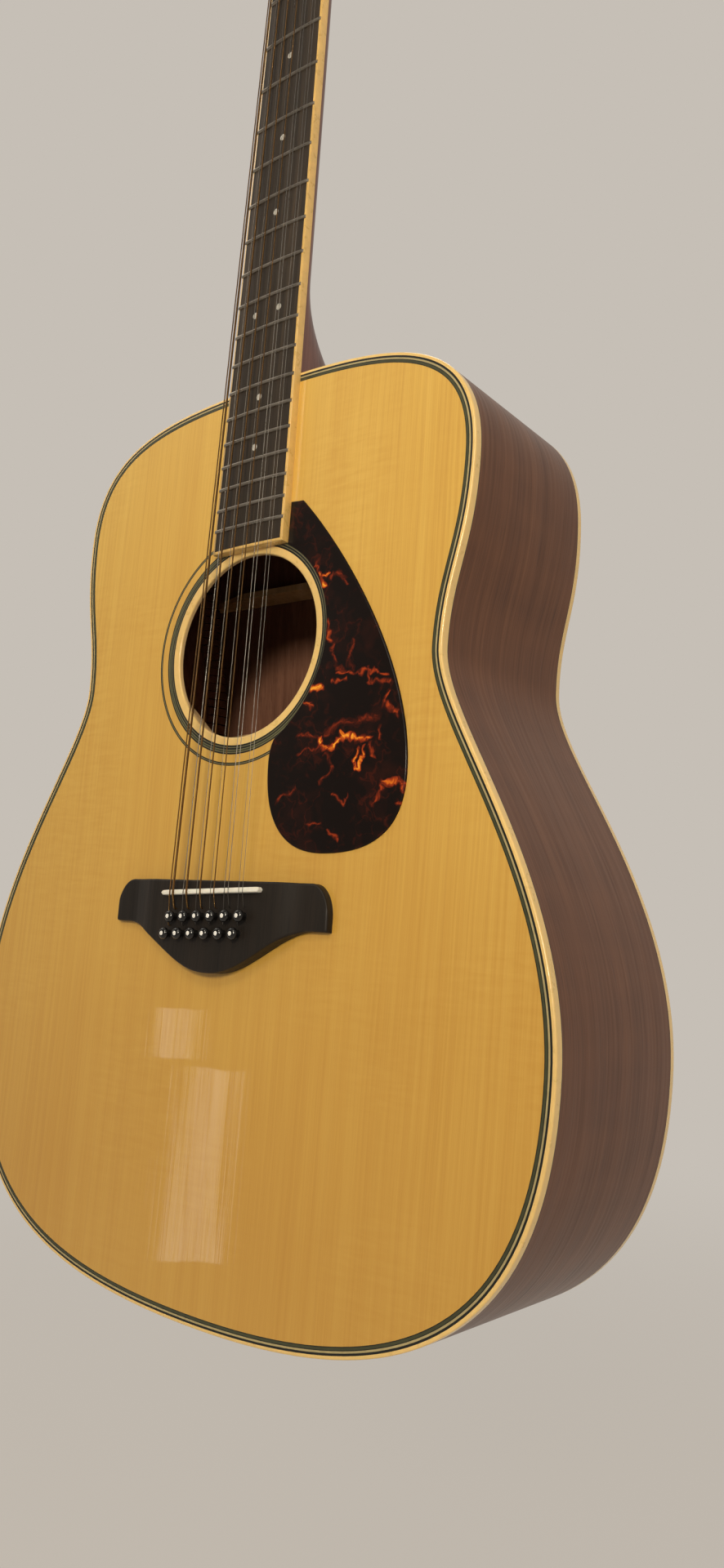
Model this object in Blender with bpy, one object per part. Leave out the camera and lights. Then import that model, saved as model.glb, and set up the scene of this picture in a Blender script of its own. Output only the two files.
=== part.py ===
"""Twelve-string dreadnought acoustic guitar, upright, neck up.

Frame: +Z up the neck, +X to the treble side, -Y out of the soundboard.
z = 0 is the nut's front edge, x = 0 the centre line, y = 0 the soundboard's face,
which is also the plane the fingerboard is glued on.  All the design sizes are in
millimetres; MM turns them into metres when a mesh is made.
"""
import bpy
import bmesh
import math
from mathutils import Matrix, Vector

for ob in list(bpy.data.objects):
    bpy.data.objects.remove(ob, do_unlink=True)

MM = 0.001
GAP = 0.3                      # clearance kept between two neighbouring pieces

# ---- driving dimensions, mm -------------------------------------------------
SCALE_LEN = 634.0              # nut to saddle
FRETS = 20
JOINT_FRET = 14

TOP_Z, UPPER_Z, WAIST_Z, LOWER_Z, TAIL_Z = -348.6, -421.6, -516.5, -707.7, -853.5
UPPER_W, WAIST_W, LOWER_W = 144.3, 131.9, 202.8         # half widths
BACK_TOP, BACK_LOW, BACK_RUN = 101.0, 118.5, 260.0      # body depth, neck end and tail
BACK_ARCH = 4.0
TOP_T, BACK_T, SIDE_T = 2.8, 2.6, 2.3
BIND_W, BIND_H, BACK_BIND_H = 1.8, 4.7, 4.5
LINING_IN, LINING_H = 7.5, 14.0
OUT_N = 7                      # outline chords per curve piece

HOLE_Z, HOLE_R = -501.5, 51.4
GUARD_R, GUARD_FLARE, GUARD_T = 59.0, 2.4, 0.9

BOARD_NUT, BOARD_TAPER = 20.4, 0.0134                   # half width, and its growth per mm
BOARD_T, BOARD_END = 5.6, -447.7
BOARD_TOP = -GAP - BOARD_T
FRET_W, FRET_H = 2.1, 1.0

NECK_D_NUT, NECK_D_MID = 12.8, 13.2
HEEL_D, HEEL_RUN = 87.0, 56.0
TENON_W, TENON_D, TENON_L = 24.0, 66.0, 24.0

HEAD_TILT = math.radians(14.0)
HEAD_Z0 = 5.5                  # where the headstock's face starts
HEAD_T = 14.0
HEAD_LEN = 182.0
POST_U0, POST_DU, POST_X = 26.0, 26.0, 24.0
POST_R, POST_UP = 3.0, 13.0
PLATE_T, PLATE_W = 1.0, 15.0

TEETH, PITCH = 14, 2.55        # worm wheel teeth, and the axial pitch of the worm
WHEEL_TIP, WHEEL_ROOT, WHEEL_T = 6.2, 3.9, 3.0
WORM_TIP, WORM_ROOT, WORM_CD = 3.7, 2.3, 9.0
WORM_SEG, WORM_TURNS = 8, 2
WHEEL_N = -HEAD_T - PLATE_T - 4.6                       # height of the wheel's middle
SHAFT_R, SHAFT_HOLE_R = 1.6, 2.2
BUTTON_X = 50.0

SADDLE_Z, SADDLE_SLANT = -637.0, 0.0456
SADDLE_T, SADDLE_HALF, SADDLE_X = 2.7, 35.9, 1.5
STRING_SADDLE_Y, STRING_NUT_Y = -12.2, -7.7
BRIDGE_HALF, BRIDGE_H, BRIDGE_WING = 77.8, 8.2, 4.2
PIN_Z, PIN_SLANT = (-650.0, -659.0), 0.042     # front row, rear row
PIN_HEAD_R, PIN_NECK_R, PIN_R, PIN_HOLE_R = 3.25, 1.9, 2.3, 2.8
COURSE_PITCH, COURSE_X0, PAIR = 10.2, -23.6, 2.7
NUT_SPREAD, NUT_PAIR = 18.0, 2.0
PLATE_Y0, PLATE_Y1 = TOP_T + GAP, TOP_T + GAP + 3.0     # bridge plate

# string name, diameter in mm; left (octave) string of a course, then right
STRINGS = [("string_E3_octave", 0.69), ("string_E2", 1.19),
           ("string_A3_octave", 0.46), ("string_A2", 0.99),
           ("string_D4_octave", 0.30), ("string_D3", 0.76),
           ("string_G4_octave", 0.24), ("string_G3", 0.58),
           ("string_B3_left", 0.36), ("string_B3_right", 0.36),
           ("string_E4_left", 0.26), ("string_E4_right", 0.26)]


# ---- small helpers -----------------------------------------------------------
def material(name, rgb, rough, metal=0.0):
    m = bpy.data.materials.new(name)
    m.use_nodes = True
    b = m.node_tree.nodes["Principled BSDF"]
    b.inputs["Base Color"].default_value = (*rgb, 1.0)
    b.inputs["Roughness"].default_value = rough
    b.inputs["Metallic"].default_value = metal
    m.diffuse_color = (*rgb, 1.0)
    return m


SPRUCE = material("spruce", (0.80, 0.53, 0.22), 0.18)
SIDES = material("mahogany", (0.16, 0.055, 0.03), 0.25)
NECKWOOD = material("neck_wood", (0.20, 0.07, 0.035), 0.35)
DARK = material("rosewood", (0.035, 0.02, 0.014), 0.45)
CREAM = material("cream_plastic", (0.78, 0.62, 0.36), 0.25)
GUARD = material("tortoiseshell", (0.05, 0.012, 0.008), 0.12)
BONE = material("bone", (0.85, 0.82, 0.74), 0.35)
BLACK = material("black_plastic", (0.01, 0.01, 0.01), 0.25)
METAL = material("nickel", (0.75, 0.74, 0.72), 0.2, 1.0)
BRONZE = material("bronze_wound", (0.72, 0.45, 0.2), 0.35, 1.0)
STEEL = material("plain_steel", (0.7, 0.7, 0.7), 0.25, 1.0)
BRACE = material("brace_spruce", (0.72, 0.55, 0.34), 0.6)


def to_object(bm, name, mat, smooth=False):
    bmesh.ops.recalc_face_normals(bm, faces=bm.faces)
    if bm.calc_volume(signed=True) < 0:
        bmesh.ops.reverse_faces(bm, faces=bm.faces)
    me = bpy.data.meshes.new(name)
    bm.to_mesh(me)
    bm.free()
    ob = bpy.data.objects.new(name, me)
    bpy.context.collection.objects.link(ob)
    if mat:
        me.materials.append(mat)
    if smooth:
        me.shade_smooth()
        me.set_sharp_from_angle(angle=math.radians(35))
    return ob


def vert(bm, p):
    return bm.verts.new((p[0] * MM, p[1] * MM, p[2] * MM))


def loft(name, rings, mat, closed=False, smooth=False):
    """Skin a list of equal-length point rings, with flat ends unless it closes on itself."""
    bm = bmesh.new()
    vr = [[vert(bm, p) for p in ring] for ring in rings]
    n = len(rings[0])
    pairs = list(zip(vr, vr[1:] + vr[:1])) if closed else list(zip(vr, vr[1:]))
    for a, b in pairs:
        for i in range(n):
            j = (i + 1) % n
            bm.faces.new((a[i], a[j], b[j], b[i]))
    if not closed:
        bm.faces.new(vr[0][::-1])
        bm.faces.new(vr[-1])
    return to_object(bm, name, mat, smooth)


def prism(name, outline, lo, hi, mat, put):
    """Extrude an outline (a, b) between two heights; put(a, b, h) gives the point."""
    return loft(name, [[put(a, b, lo) for a, b in outline], [put(a, b, hi) for a, b in outline]], mat)


def box(name, x0, x1, y0, y1, z0, z1, mat):
    return prism(name, [(x0, z0), (x1, z0), (x1, z1), (x0, z1)], y0, y1, mat, lambda a, b, h: (a, h, b))


def add_box(bm, x0, x1, y0, y1, z0, z1):
    v = [vert(bm, p) for p in ((x0, y0, z0), (x1, y0, z0), (x1, y1, z0), (x0, y1, z0),
                               (x0, y0, z1), (x1, y0, z1), (x1, y1, z1), (x0, y1, z1))]
    for f in ((3, 2, 1, 0), (4, 5, 6, 7), (0, 1, 5, 4), (1, 2, 6, 5), (2, 3, 7, 6), (3, 0, 4, 7)):
        bm.faces.new([v[i] for i in f])


def cutter(bm, name):
    ob = to_object(bm, name, None)
    ob.hide_render = True
    ob.display_type = 'WIRE'
    return ob


def boolean(ob, other, op):
    m = ob.modifiers.new(op.lower(), 'BOOLEAN')
    m.operation = op
    m.solver = 'EXACT'
    m.object = other


def add_prism(bm, centre, axis, side, up, radius, lo, hi, n, turn=0.5):
    """Add an n-sided column to bm: centre and unit vectors as Vectors in mm."""
    a, b = [], []
    for i in range(n):
        t = 2 * math.pi * (i + turn) / n
        off = side * (radius * math.cos(t)) + up * (radius * math.sin(t))
        a.append(vert(bm, centre + off + axis * lo))
        b.append(vert(bm, centre + off + axis * hi))
    for i in range(n):
        j = (i + 1) % n
        bm.faces.new((a[i], a[j], b[j], b[i]))
    bm.faces.new(a[::-1])
    bm.faces.new(b)


def add_turned(bm, centre, axis, side, up, profile, n, turn=0.5):
    """Add a turned solid: profile is (radius, height) from one end to the other."""
    rings = []
    for r, h in profile:
        rings.append([vert(bm, centre + axis * h + side * (r * math.cos(2 * math.pi * (i + turn) / n))
                           + up * (r * math.sin(2 * math.pi * (i + turn) / n))) for i in range(n)])
    for a, b in zip(rings, rings[1:]):
        for i in range(n):
            j = (i + 1) % n
            bm.faces.new((a[i], a[j], b[j], b[i]))
    bm.faces.new(rings[0][::-1])
    bm.faces.new(rings[-1])


def bezier(p0, p1, p2, p3, n):
    out = []
    for i in range(n):
        t = i / n
        s = 1 - t
        out.append(tuple(s ** 3 * a + 3 * s * s * t * b + 3 * s * t * t * c + t ** 3 * d
                         for a, b, c, d in zip(p0, p1, p2, p3)))
    return out


# ---- body outline: four curve pieces a side, upright at the bouts and the waist ----
def half_outline(n=OUT_N):
    pts = bezier((0, TOP_Z), (85.2, TOP_Z), (UPPER_W, UPPER_Z + 66.2), (UPPER_W, UPPER_Z), n)
    pts += bezier((UPPER_W, UPPER_Z), (UPPER_W, UPPER_Z - 46.7), (WAIST_W, WAIST_Z + 37.1), (WAIST_W, WAIST_Z), n)
    pts += bezier((WAIST_W, WAIST_Z), (WAIST_W, WAIST_Z - 36.0), (LOWER_W, LOWER_Z + 86.4), (LOWER_W, LOWER_Z), n)
    pts += bezier((LOWER_W, LOWER_Z), (LOWER_W, LOWER_Z - 108.8), (138.0, TAIL_Z), (0, TAIL_Z), n)
    return pts + [(0.0, TAIL_Z)]


HALF = half_outline()


def normals(line):
    out = []
    for i, p in enumerate(line):
        a = line[max(i - 1, 0)]
        b = line[min(i + 1, len(line) - 1)]
        if i == 0 or i == len(line) - 1:
            out.append((0.0, 1.0 if i == 0 else -1.0))
            continue
        dx, dz = b[0] - a[0], b[1] - a[1]
        k = math.hypot(dx, dz)
        out.append((-dz / k, dx / k))
    return out


NORM = normals(HALF)


def inset_half(d):
    """The right half outline, moved in by d."""
    return [(max(p[0] - d * n[0], 0.0), p[1] - d * n[1]) for p, n in zip(HALF, NORM)]


def full(d):
    """The whole outline moved in by d, clockwise from the neck end."""
    h = inset_half(d)
    return h + [(-x, z) for x, z in h[-2:0:-1]]


def depth(z):
    """Body depth at height z, at the rim."""
    t = min(max((TOP_Z - z) / BACK_RUN, 0.0), 1.0)
    return BACK_LOW - (BACK_LOW - BACK_TOP) * (1 - t) ** 1.5


def half_width(z, d=0.0):
    h = inset_half(d)
    for a, b in zip(h, h[1:]):
        if a[1] >= z >= b[1] and a[1] != b[1]:
            return a[0] + (b[0] - a[0]) * (a[1] - z) / (a[1] - b[1])
    return 0.0


def back_y(x, z):
    """Outer face of the arched back."""
    w = max(half_width(z), 1.0)
    return depth(z) + BACK_ARCH * max(0.0, 1 - (x / w) ** 2) * min(1.0, w / 80.0)


# ---- soundboard --------------------------------------------------------------
Y = Vector((0, 1, 0))
X = Vector((1, 0, 0))
Z = Vector((0, 0, 1))


def ring_y(outline, y):
    return [(x, y, z) for x, z in outline]


top_out = full(BIND_W + GAP)
soundboard = loft("soundboard", [ring_y(top_out, 0.0), ring_y(top_out, TOP_T)], SPRUCE)
bm = bmesh.new()
add_prism(bm, Vector((0, 0, HOLE_Z)), Y, X, Z, HOLE_R, -5, 10, 32)
hole_cut = cutter(bm, "hole_cutter")
boolean(soundboard, hole_cut, 'DIFFERENCE')


# ---- bindings ----------------------------------------------------------------
def binding(name, y_of):
    """Ring around the body: y_of(z, k) gives its two faces."""
    outer, inner = full(0.0), full(BIND_W)
    rings = []
    for (xo, zo), (xi, zi) in zip(outer, inner):
        rings.append([(xo, y_of(zo, 0), zo), (xi, y_of(zi, 0), zi), (xi, y_of(zi, 1), zi), (xo, y_of(zo, 1), zo)])
    return loft(name, rings, CREAM, closed=True)


binding("top_binding", lambda z, k: (0.0, BIND_H)[k])
binding("back_binding", lambda z, k: depth(z) - (BACK_BIND_H, 0.0)[k])


# ---- back: arched plate --------------------------------------------------------
def plate_grid(name, line, y_face, thick, cols, mat):
    """A plate over the half outline `line`, its outer face at y_face(x, z), thick measured inwards."""
    bm = bmesh.new()
    layers = []
    for t in (0.0, thick):
        rows = []
        for j, (w, z) in enumerate(line):
            if j in (0, len(line) - 1):
                rows.append([vert(bm, (0, y_face(0, z) - t, z))])
            else:
                rows.append([vert(bm, (w * k / cols, y_face(w * k / cols, z) - t, z)) for k in range(-cols, cols + 1)])
        for a, b in zip(rows, rows[1:]):
            if len(a) == 1 or len(b) == 1:
                one, many = (a, b) if len(a) == 1 else (b, a)
                for k in range(len(many) - 1):
                    bm.faces.new((one[0], many[k], many[k + 1]))
            else:
                for k in range(len(a) - 1):
                    bm.faces.new((a[k], a[k + 1], b[k + 1], b[k]))
        layers.append(rows)
    o, i = layers
    for e in (0, -1):
        for j in range(len(line) - 1):
            q = [o[j][e], o[j + 1][e], i[j + 1][e], i[j][e]]
            bm.faces.new(q)
    return to_object(bm, name, mat)


plate_grid("back_plate", inset_half(BIND_W + GAP), back_y, BACK_T, 2, SIDES)


# ---- sides, with the kerfed linings glued inside their two edges ---------------
def side(name, sign, x_start):
    rings = []
    lo, hi = BIND_W + GAP, LINING_IN
    lines = {d: inset_half(d) for d in (0.0, lo, hi, SIDE_T)}

    def at(d, i, y_from_front=None, y_from_back=None):
        x, z = lines[d][i]
        if i == 0 or x < x_start:
            x = x_start
        if i == len(HALF) - 1:
            x = 0.2
        y = y_from_front if y_from_back is None else depth(z) - y_from_back
        return (sign * x, y, z)

    fy = BIND_H + GAP
    by = BACK_BIND_H + GAP
    for i in range(len(HALF)):
        rings.append([
            at(0.0, i, fy), at(lo, i, fy), at(lo, i, TOP_T + GAP), at(hi, i, TOP_T + GAP),
            at(SIDE_T, i, TOP_T + LINING_H), at(SIDE_T, i, None, BACK_T + LINING_H),
            at(hi, i, None, BACK_T + GAP), at(lo, i, None, BACK_T + GAP), at(lo, i, None, by), at(0.0, i, None, by)])
    return loft(name, rings, SIDES)


side_b = side("side_bass", -1, 0.2)
side_t = side("side_treble", 1, 0.2)
bm = bmesh.new()
add_box(bm, -TENON_W / 2 - 0.6, TENON_W / 2 + 0.6, -10, TENON_D + 0.6, TOP_Z - 20, TOP_Z + 10)
tenon_cut = cutter(bm, "tenon_slot_cutter")
boolean(side_b, tenon_cut, 'DIFFERENCE')
boolean(side_t, tenon_cut, 'DIFFERENCE')
PIN_END_Y = 0.5 * depth(TAIL_Z)
bm = bmesh.new()
add_prism(bm, Vector((0, PIN_END_Y, TAIL_Z)), Z, X, Y, 5.6, -12, 40, 16)
end_cut = cutter(bm, "end_pin_cutter")
boolean(side_b, end_cut, 'DIFFERENCE')
boolean(side_t, end_cut, 'DIFFERENCE')

# ---- blocks, braces, bridge plate ----------------------------------------------
BRACE_Y0 = TOP_T + GAP
hb_top, hb_bot = TOP_Z - LINING_IN - 1.0, -400.0
head_block = loft("head_block", [[(-38, BRACE_Y0, hb_top), (38, BRACE_Y0, hb_top), (38, BRACE_Y0, hb_bot), (-38, BRACE_Y0, hb_bot)],
                                 [(-38, 95.5, hb_top), (38, 95.5, hb_top), (38, 98.5, hb_bot), (-38, 98.5, hb_bot)]], BRACE)
bm = bmesh.new()
add_box(bm, -TENON_W / 2 - 0.4, TENON_W / 2 + 0.4, -10, TENON_D + 0.5, TOP_Z - TENON_L - 0.4, TOP_Z + 10)
mortise = cutter(bm, "mortise_cutter")
boolean(head_block, mortise, 'DIFFERENCE')

tb_bot = TAIL_Z + LINING_IN + 3.0
tail_block = box("tail_block", -40, 40, BRACE_Y0, depth(TAIL_Z) - BACK_T - 0.6, tb_bot, tb_bot + 18, BRACE)
boolean(tail_block, end_cut, 'DIFFERENCE')

bm = bmesh.new()
add_turned(bm, Vector((0, PIN_END_Y, TAIL_Z)), -Z, X, Y,
           [(4.6, -24), (5.2, 0.4), (7.6, 0.5), (8.2, 2.2), (5.0, 4.4), (4.8, 7.0), (7.0, 9.0), (6.2, 10.6)], 16)
to_object(bm, "end_pin", BLACK, True)


def bar(bm, x0, z0, x1, z1, w, y0, y1, crown=0.5):
    """A brace: a bar between two points, its inner edge narrowed to crown times its width."""
    dx, dz = x1 - x0, z1 - z0
    k = math.hypot(dx, dz)
    nx, nz = -dz / k * w / 2, dx / k * w / 2
    end = min(18.0, k / 5)
    ux, uz = dx / k * end, dz / k * end
    rings = []
    for x, z, top in ((x0, z0, y0 + 3), (x0 + ux, z0 + uz, y1), (x1 - ux, z1 - uz, y1), (x1, z1, y0 + 3)):
        rings.append([vert(bm, (x + nx, y0, z + nz)), vert(bm, (x - nx, y0, z - nz)),
                      vert(bm, (x - nx * crown, top, z - nz * crown)), vert(bm, (x + nx * crown, top, z + nz * crown))])
    for a, b in zip(rings, rings[1:]):
        for i in range(4):
            j = (i + 1) % 4
            bm.faces.new((a[i], a[j], b[j], b[i]))
    bm.faces.new(rings[0][::-1])
    bm.faces.new(rings[-1])


X_Z = -578.0
X_ANG = math.radians(49.0)
XU, XL = 150.0, 196.0          # lengths of the legs above and below the crossing
bm = bmesh.new()
bar(bm, XL * -math.sin(X_ANG), X_Z - XL * math.cos(X_ANG), XU * math.sin(X_ANG), X_Z + XU * math.cos(X_ANG), 8, BRACE_Y0, 17)
x_brace = to_object(bm, "x_brace", BRACE)
bm = bmesh.new()
bar(bm, XL * math.sin(X_ANG), X_Z - XL * math.cos(X_ANG), XU * -math.sin(X_ANG), X_Z + XU * math.cos(X_ANG), 8, BRACE_Y0, 16)
leg = cutter(bm, "x_brace_other_leg")
boolean(x_brace, leg, 'UNION')
bm = bmesh.new()
bar(bm, -124, -430, 124, -430, 12, BRACE_Y0, 18)
to_object(bm, "transverse_brace", BRACE)

bridge_plate = prism("bridge_plate", [(-42, -627), (42, -627), (62, -668), (-62, -668)],
                     PLATE_Y0, PLATE_Y1, NECKWOOD, lambda a, b, h: (a, h, b))


def ladder(bm, z, h, w):
    """A back brace whose outer edge follows the arch of the back."""
    hw = half_width(z, LINING_IN) - 3
    n = 4
    rings = []
    for k in range(-n, n + 1):
        x = hw * k / n
        y = back_y(x, z) - BACK_T - 1.0
        t = 3.0 if abs(k) == n else h
        rings.append([vert(bm, (x, y, z - w / 2)), vert(bm, (x, y, z + w / 2)),
                      vert(bm, (x, y - t, z + w / 4)), vert(bm, (x, y - t, z - w / 4))])
    for a, b in zip(rings, rings[1:]):
        for i in range(4):
            j = (i + 1) % 4
            bm.faces.new((a[i], a[j], b[j], b[i]))
    bm.faces.new(rings[0][::-1])
    bm.faces.new(rings[-1])


zs = [-404 - (832 - 404) * i / 5 for i in range(6)]
back_bracing = loft("back_bracing", [[(-9, back_y(9, z) - BACK_T - 0.8, z), (9, back_y(9, z) - BACK_T - 0.8, z),
                                      (9, back_y(9, z) - BACK_T - 3.3, z), (-9, back_y(9, z) - BACK_T - 3.3, z)] for z in zs], BRACE)
bm = bmesh.new()
for z, h, w in ((-432, 14, 8), (-528, 14, 8), (-634, 11, 14), (-744, 11, 14)):
    ladder(bm, z, h, w)
ladders = cutter(bm, "ladder_braces")
boolean(back_bracing, ladders, 'UNION')


# ---- bridge, saddle, pins --------------------------------------------------------
def bridge_low(x):
    """Lower edge of the bridge: a round belly that sweeps out into two straight wings."""
    a = abs(x)
    if a <= 68:
        t = a / 68.0
        return -679.2 + 24.6 * (3 * t * t - 2 * t ** 3) ** 1.15
    return -654.6


def bridge_high(x):
    a = abs(x)
    if a <= 66:
        return -631.0
    t = (a - 66) / (BRIDGE_HALF - 66)
    return -631.0 - 17.0 * (1 - math.sqrt(max(0.0, 1 - t * t)))


def bridge_face(x):
    a = abs(x)
    if a < 44:
        return -GAP - BRIDGE_H
    t = min((a - 44) / 20.0, 1.0)
    t = t * t * (3 - 2 * t)
    return -GAP - BRIDGE_H + (BRIDGE_H - BRIDGE_WING) * t


stations = [0, 9, 18, 27, 36, 44, 50, 56, 62, 68, 71, 74.2, 76.4, 77.4, BRIDGE_HALF]
xs = [-x for x in stations[:0:-1]] + stations
bridge = loft("bridge", [[(x, -GAP, bridge_high(x)), (x, -GAP, bridge_low(x)), (x, bridge_face(x), bridge_low(x)),
                          (x, bridge_face(x), bridge_high(x))] for x in xs], DARK)


def saddle_z(x):
    return SADDLE_Z + SADDLE_SLANT * x


def saddle_outline(grow):
    pts = []
    ang = math.atan(SADDLE_SLANT)
    r = SADDLE_T / 2 + grow
    for sx, a0 in ((1, -90), (-1, 90)):
        for i in range(5):
            a = math.radians(a0 + 45 * i)
            lx = sx * (SADDLE_HALF - SADDLE_T / 2) + r * math.cos(a)
            lz = r * math.sin(a)
            pts.append((SADDLE_X + lx * math.cos(ang) - lz * math.sin(ang),
                        saddle_z(SADDLE_X) + lx * math.sin(ang) + lz * math.cos(ang)))
    return pts


prism("saddle", saddle_outline(0.0), STRING_SADDLE_Y + 0.1, -3.2, BONE, lambda a, b, h: (a, h, b))
slot = prism("saddle_slot", saddle_outline(GAP), -30, -2.9, None, lambda a, b, h: (a, h, b))
slot.hide_render = True
slot.display_type = 'WIRE'
boolean(bridge, slot, 'DIFFERENCE')


def pin_x(i):
    """Pin of string i: the right string of each course goes to the front row."""
    k = i // 2
    xr = COURSE_X0 + COURSE_PITCH * k
    return xr - 1.4 if i % 2 else xr - 4.8


def pin_z(i):
    return PIN_Z[0 if i % 2 else 1] + PIN_SLANT * pin_x(i)


NOTCH = 3.4                    # string centre ahead of its pin's axis
bm = bmesh.new()
for i in range(12):
    c, r = (pin_x(i), pin_z(i)), PIN_HOLE_R
    ring = [(r * 0.4, -r), (r, -r * 0.4), (r, r * 0.4), (1.1, NOTCH + 1.05), (-1.1, NOTCH + 1.05), (-r, r * 0.4),
            (-r, -r * 0.4), (-r * 0.4, -r)]
    lo = [vert(bm, (c[0] + x, -20, c[1] + z)) for x, z in ring]
    hi = [vert(bm, (c[0] + x, 12, c[1] + z)) for x, z in ring]
    for j in range(8):
        k = (j + 1) % 8
        bm.faces.new((lo[j], lo[k], hi[k], hi[j]))
    bm.faces.new(lo[::-1])
    bm.faces.new(hi)
pin_cut = cutter(bm, "pin_hole_cutter")
for piece in (bridge, soundboard, bridge_plate):
    boolean(piece, pin_cut, 'DIFFERENCE')

FACE_Y = -GAP - BRIDGE_H
TIE_Y = PLATE_Y1 + GAP
bm = bmesh.new()
add_box(bm, pin_x(0) - 2, pin_x(11) + 2, TIE_Y, TIE_Y + 1.2, PIN_Z[1] - 3.3, PIN_Z[0] + 3.0)
pins = to_object(bm, "bridge_pins", BLACK)
bm = bmesh.new()
for i in range(12):
    add_turned(bm, Vector((pin_x(i), 0, pin_z(i))), -Y, X, Z,
               [(1.7, -TIE_Y - 0.6), (PIN_R, -FACE_Y - 0.2), (PIN_NECK_R, -FACE_Y + 0.4), (PIN_NECK_R, -FACE_Y + 2.8),
                (PIN_HEAD_R, -FACE_Y + 3.7), (PIN_HEAD_R - 0.5, -FACE_Y + 5.1), (1.3, -FACE_Y + 6.0)], 8)
pin_set = cutter(bm, "pin_set")
boolean(pins, pin_set, 'UNION')


# ---- pickguard: a teardrop that stops at the rosette and the fingerboard -------
def board_half(z):
    return BOARD_NUT - BOARD_TAPER * z


def guard_outline():
    gx = board_half(-440) + GAP + 0.3
    end_a = math.asin(gx / GUARD_R)
    pts = [(gx, -424.8)]
    pts += bezier((35.5, -425.6), (60.0, -450.0), (116.8, -520.0), (116.8, -577.0), 12)
    pts += bezier((116.8, -577.0), (116.8, -604.0), (101.0, -615.8), (68.0, -615.8), 7)
    pts += bezier((68.0, -615.8), (41.0, -615.8), (26.2, -600.0), (26.2, -568.0), 7)
    pts += bezier((26.2, -568.0), (26.3, -562.0), (27.2, -558.5), (29.0, -555.6), 3)
    lo = math.atan2(29.0, -555.6 - HOLE_Z)
    n = 14
    for i in range(n + 1):
        a = lo + (end_a - lo) * i / n
        r = GUARD_R + GUARD_FLARE * max(0.0, 1 - (lo - a) / 0.6) ** 2
        pts.append((r * math.sin(a), HOLE_Z + r * math.cos(a)))
    return pts


prism("pickguard", guard_outline(), -GAP - GUARD_T, -GAP, GUARD, lambda a, b, h: (a, h, b))


# ---- fingerboard and frets -------------------------------------------------------
def board_ring(z):
    w = board_half(z)
    return [(-w, -GAP, z), (w, -GAP, z), (w, BOARD_TOP, z), (1.3, BOARD_TOP, z), (1.3, BOARD_TOP + 2.6, z),
            (-1.3, BOARD_TOP + 2.6, z), (-1.3, BOARD_TOP, z), (-w, BOARD_TOP, z)]


loft("fingerboard", [board_ring(BOARD_END), board_ring(0.0)], DARK)


def fret_z(n):
    return -SCALE_LEN * (1 - 2 ** (-n / 12))


FRET_Y = BOARD_TOP - GAP
bm = bmesh.new()
add_box(bm, -0.8, 0.8, BOARD_TOP + 1.2, BOARD_TOP + 2.2, fret_z(FRETS) - 0.6, fret_z(1) + 0.6)
frets = to_object(bm, "frets", METAL)
bm = bmesh.new()
for n in range(1, FRETS + 1):
    z, w = fret_z(n), board_half(fret_z(n)) - 1.4
    v = []
    for x in (-w, w):
        s = 1 if x < 0 else -1
        v.append([vert(bm, (x, FRET_Y, z - FRET_W / 2)), vert(bm, (x, FRET_Y, z + FRET_W / 2)),
                  vert(bm, (x + s * 0.6, FRET_Y - FRET_H, z + 0.5)), vert(bm, (x + s * 0.6, FRET_Y - FRET_H, z - 0.5))])
    for i in range(4):
        j = (i + 1) % 4
        bm.faces.new((v[0][i], v[0][j], v[1][j], v[1][i]))
    bm.faces.new(v[0][::-1])
    bm.faces.new(v[1])
crowns = cutter(bm, "fret_crowns")
bm = bmesh.new()
for n in range(1, FRETS + 1):
    add_box(bm, -0.6, 0.6, FRET_Y - 0.4, BOARD_TOP + 1.6, fret_z(n) - 0.4, fret_z(n) + 0.4)
tangs = cutter(bm, "fret_tangs")
boolean(frets, tangs, 'UNION')
boolean(frets, crowns, 'UNION')

box("nut", -BOARD_NUT + 0.4, BOARD_NUT - 0.4, STRING_NUT_Y + 0.1, -GAP, GAP, HEAD_Z0 - 0.1, BONE)

# ---- neck: one loft from the tenon up to the top of the headstock ----------------
U = Vector((0, math.sin(HEAD_TILT), math.cos(HEAD_TILT)))
N = Vector((0, -math.cos(HEAD_TILT), math.sin(HEAD_TILT)))
HEAD_O = Vector((0, 0, HEAD_Z0))


def head(x, u, n):
    """Headstock coordinates: x across, u up its face, n out of its face."""
    return HEAD_O + X * x + U * u + N * n


def smooth(t):
    t = min(max(t, 0.0), 1.0)
    return t * t * (3 - 2 * t)


BACK_PTS = 7


def neck_ring(z):
    """D-shaped section: flat under the fingerboard, round behind, deep and narrow at the heel."""
    w = board_half(z)
    d = NECK_D_NUT + (NECK_D_MID - NECK_D_NUT) * smooth(-z / 200.0)
    t = min(max((z - (TOP_Z + HEEL_RUN)) / -HEEL_RUN, 0.0), 1.0)
    flare = 1 - max(0.0, 1 - t ** 1.8) ** 0.95
    d = d + (HEEL_D - d) * flare
    power = 1.2 + 0.25 * flare
    ring = [(-w, 0, z), (w, 0, z)]
    for i in range(1, BACK_PTS + 1):
        a = math.pi * i / (BACK_PTS + 1)
        c = math.cos(a)
        ring.append((w * (1 if c > 0 else -1) * abs(c) ** power * (1 - 0.25 * flare * math.sin(a)), d * math.sin(a) ** (1.12 - 0.27 * flare), z))
    return ring


def rect_ring(put, w, top, bottom):
    """The same number of points as a neck section, around a rectangle."""
    ring = [put(-w, top), put(w, top)]
    k = BACK_PTS
    for i in range(k):
        if i == 0:
            ring.append(put(w, (top + bottom) / 2))
        elif i == k - 1:
            ring.append(put(-w, (top + bottom) / 2))
        else:
            ring.append(put(w * (1 - 2 * (i - 1) / (k - 3)), bottom))
    return ring


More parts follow.
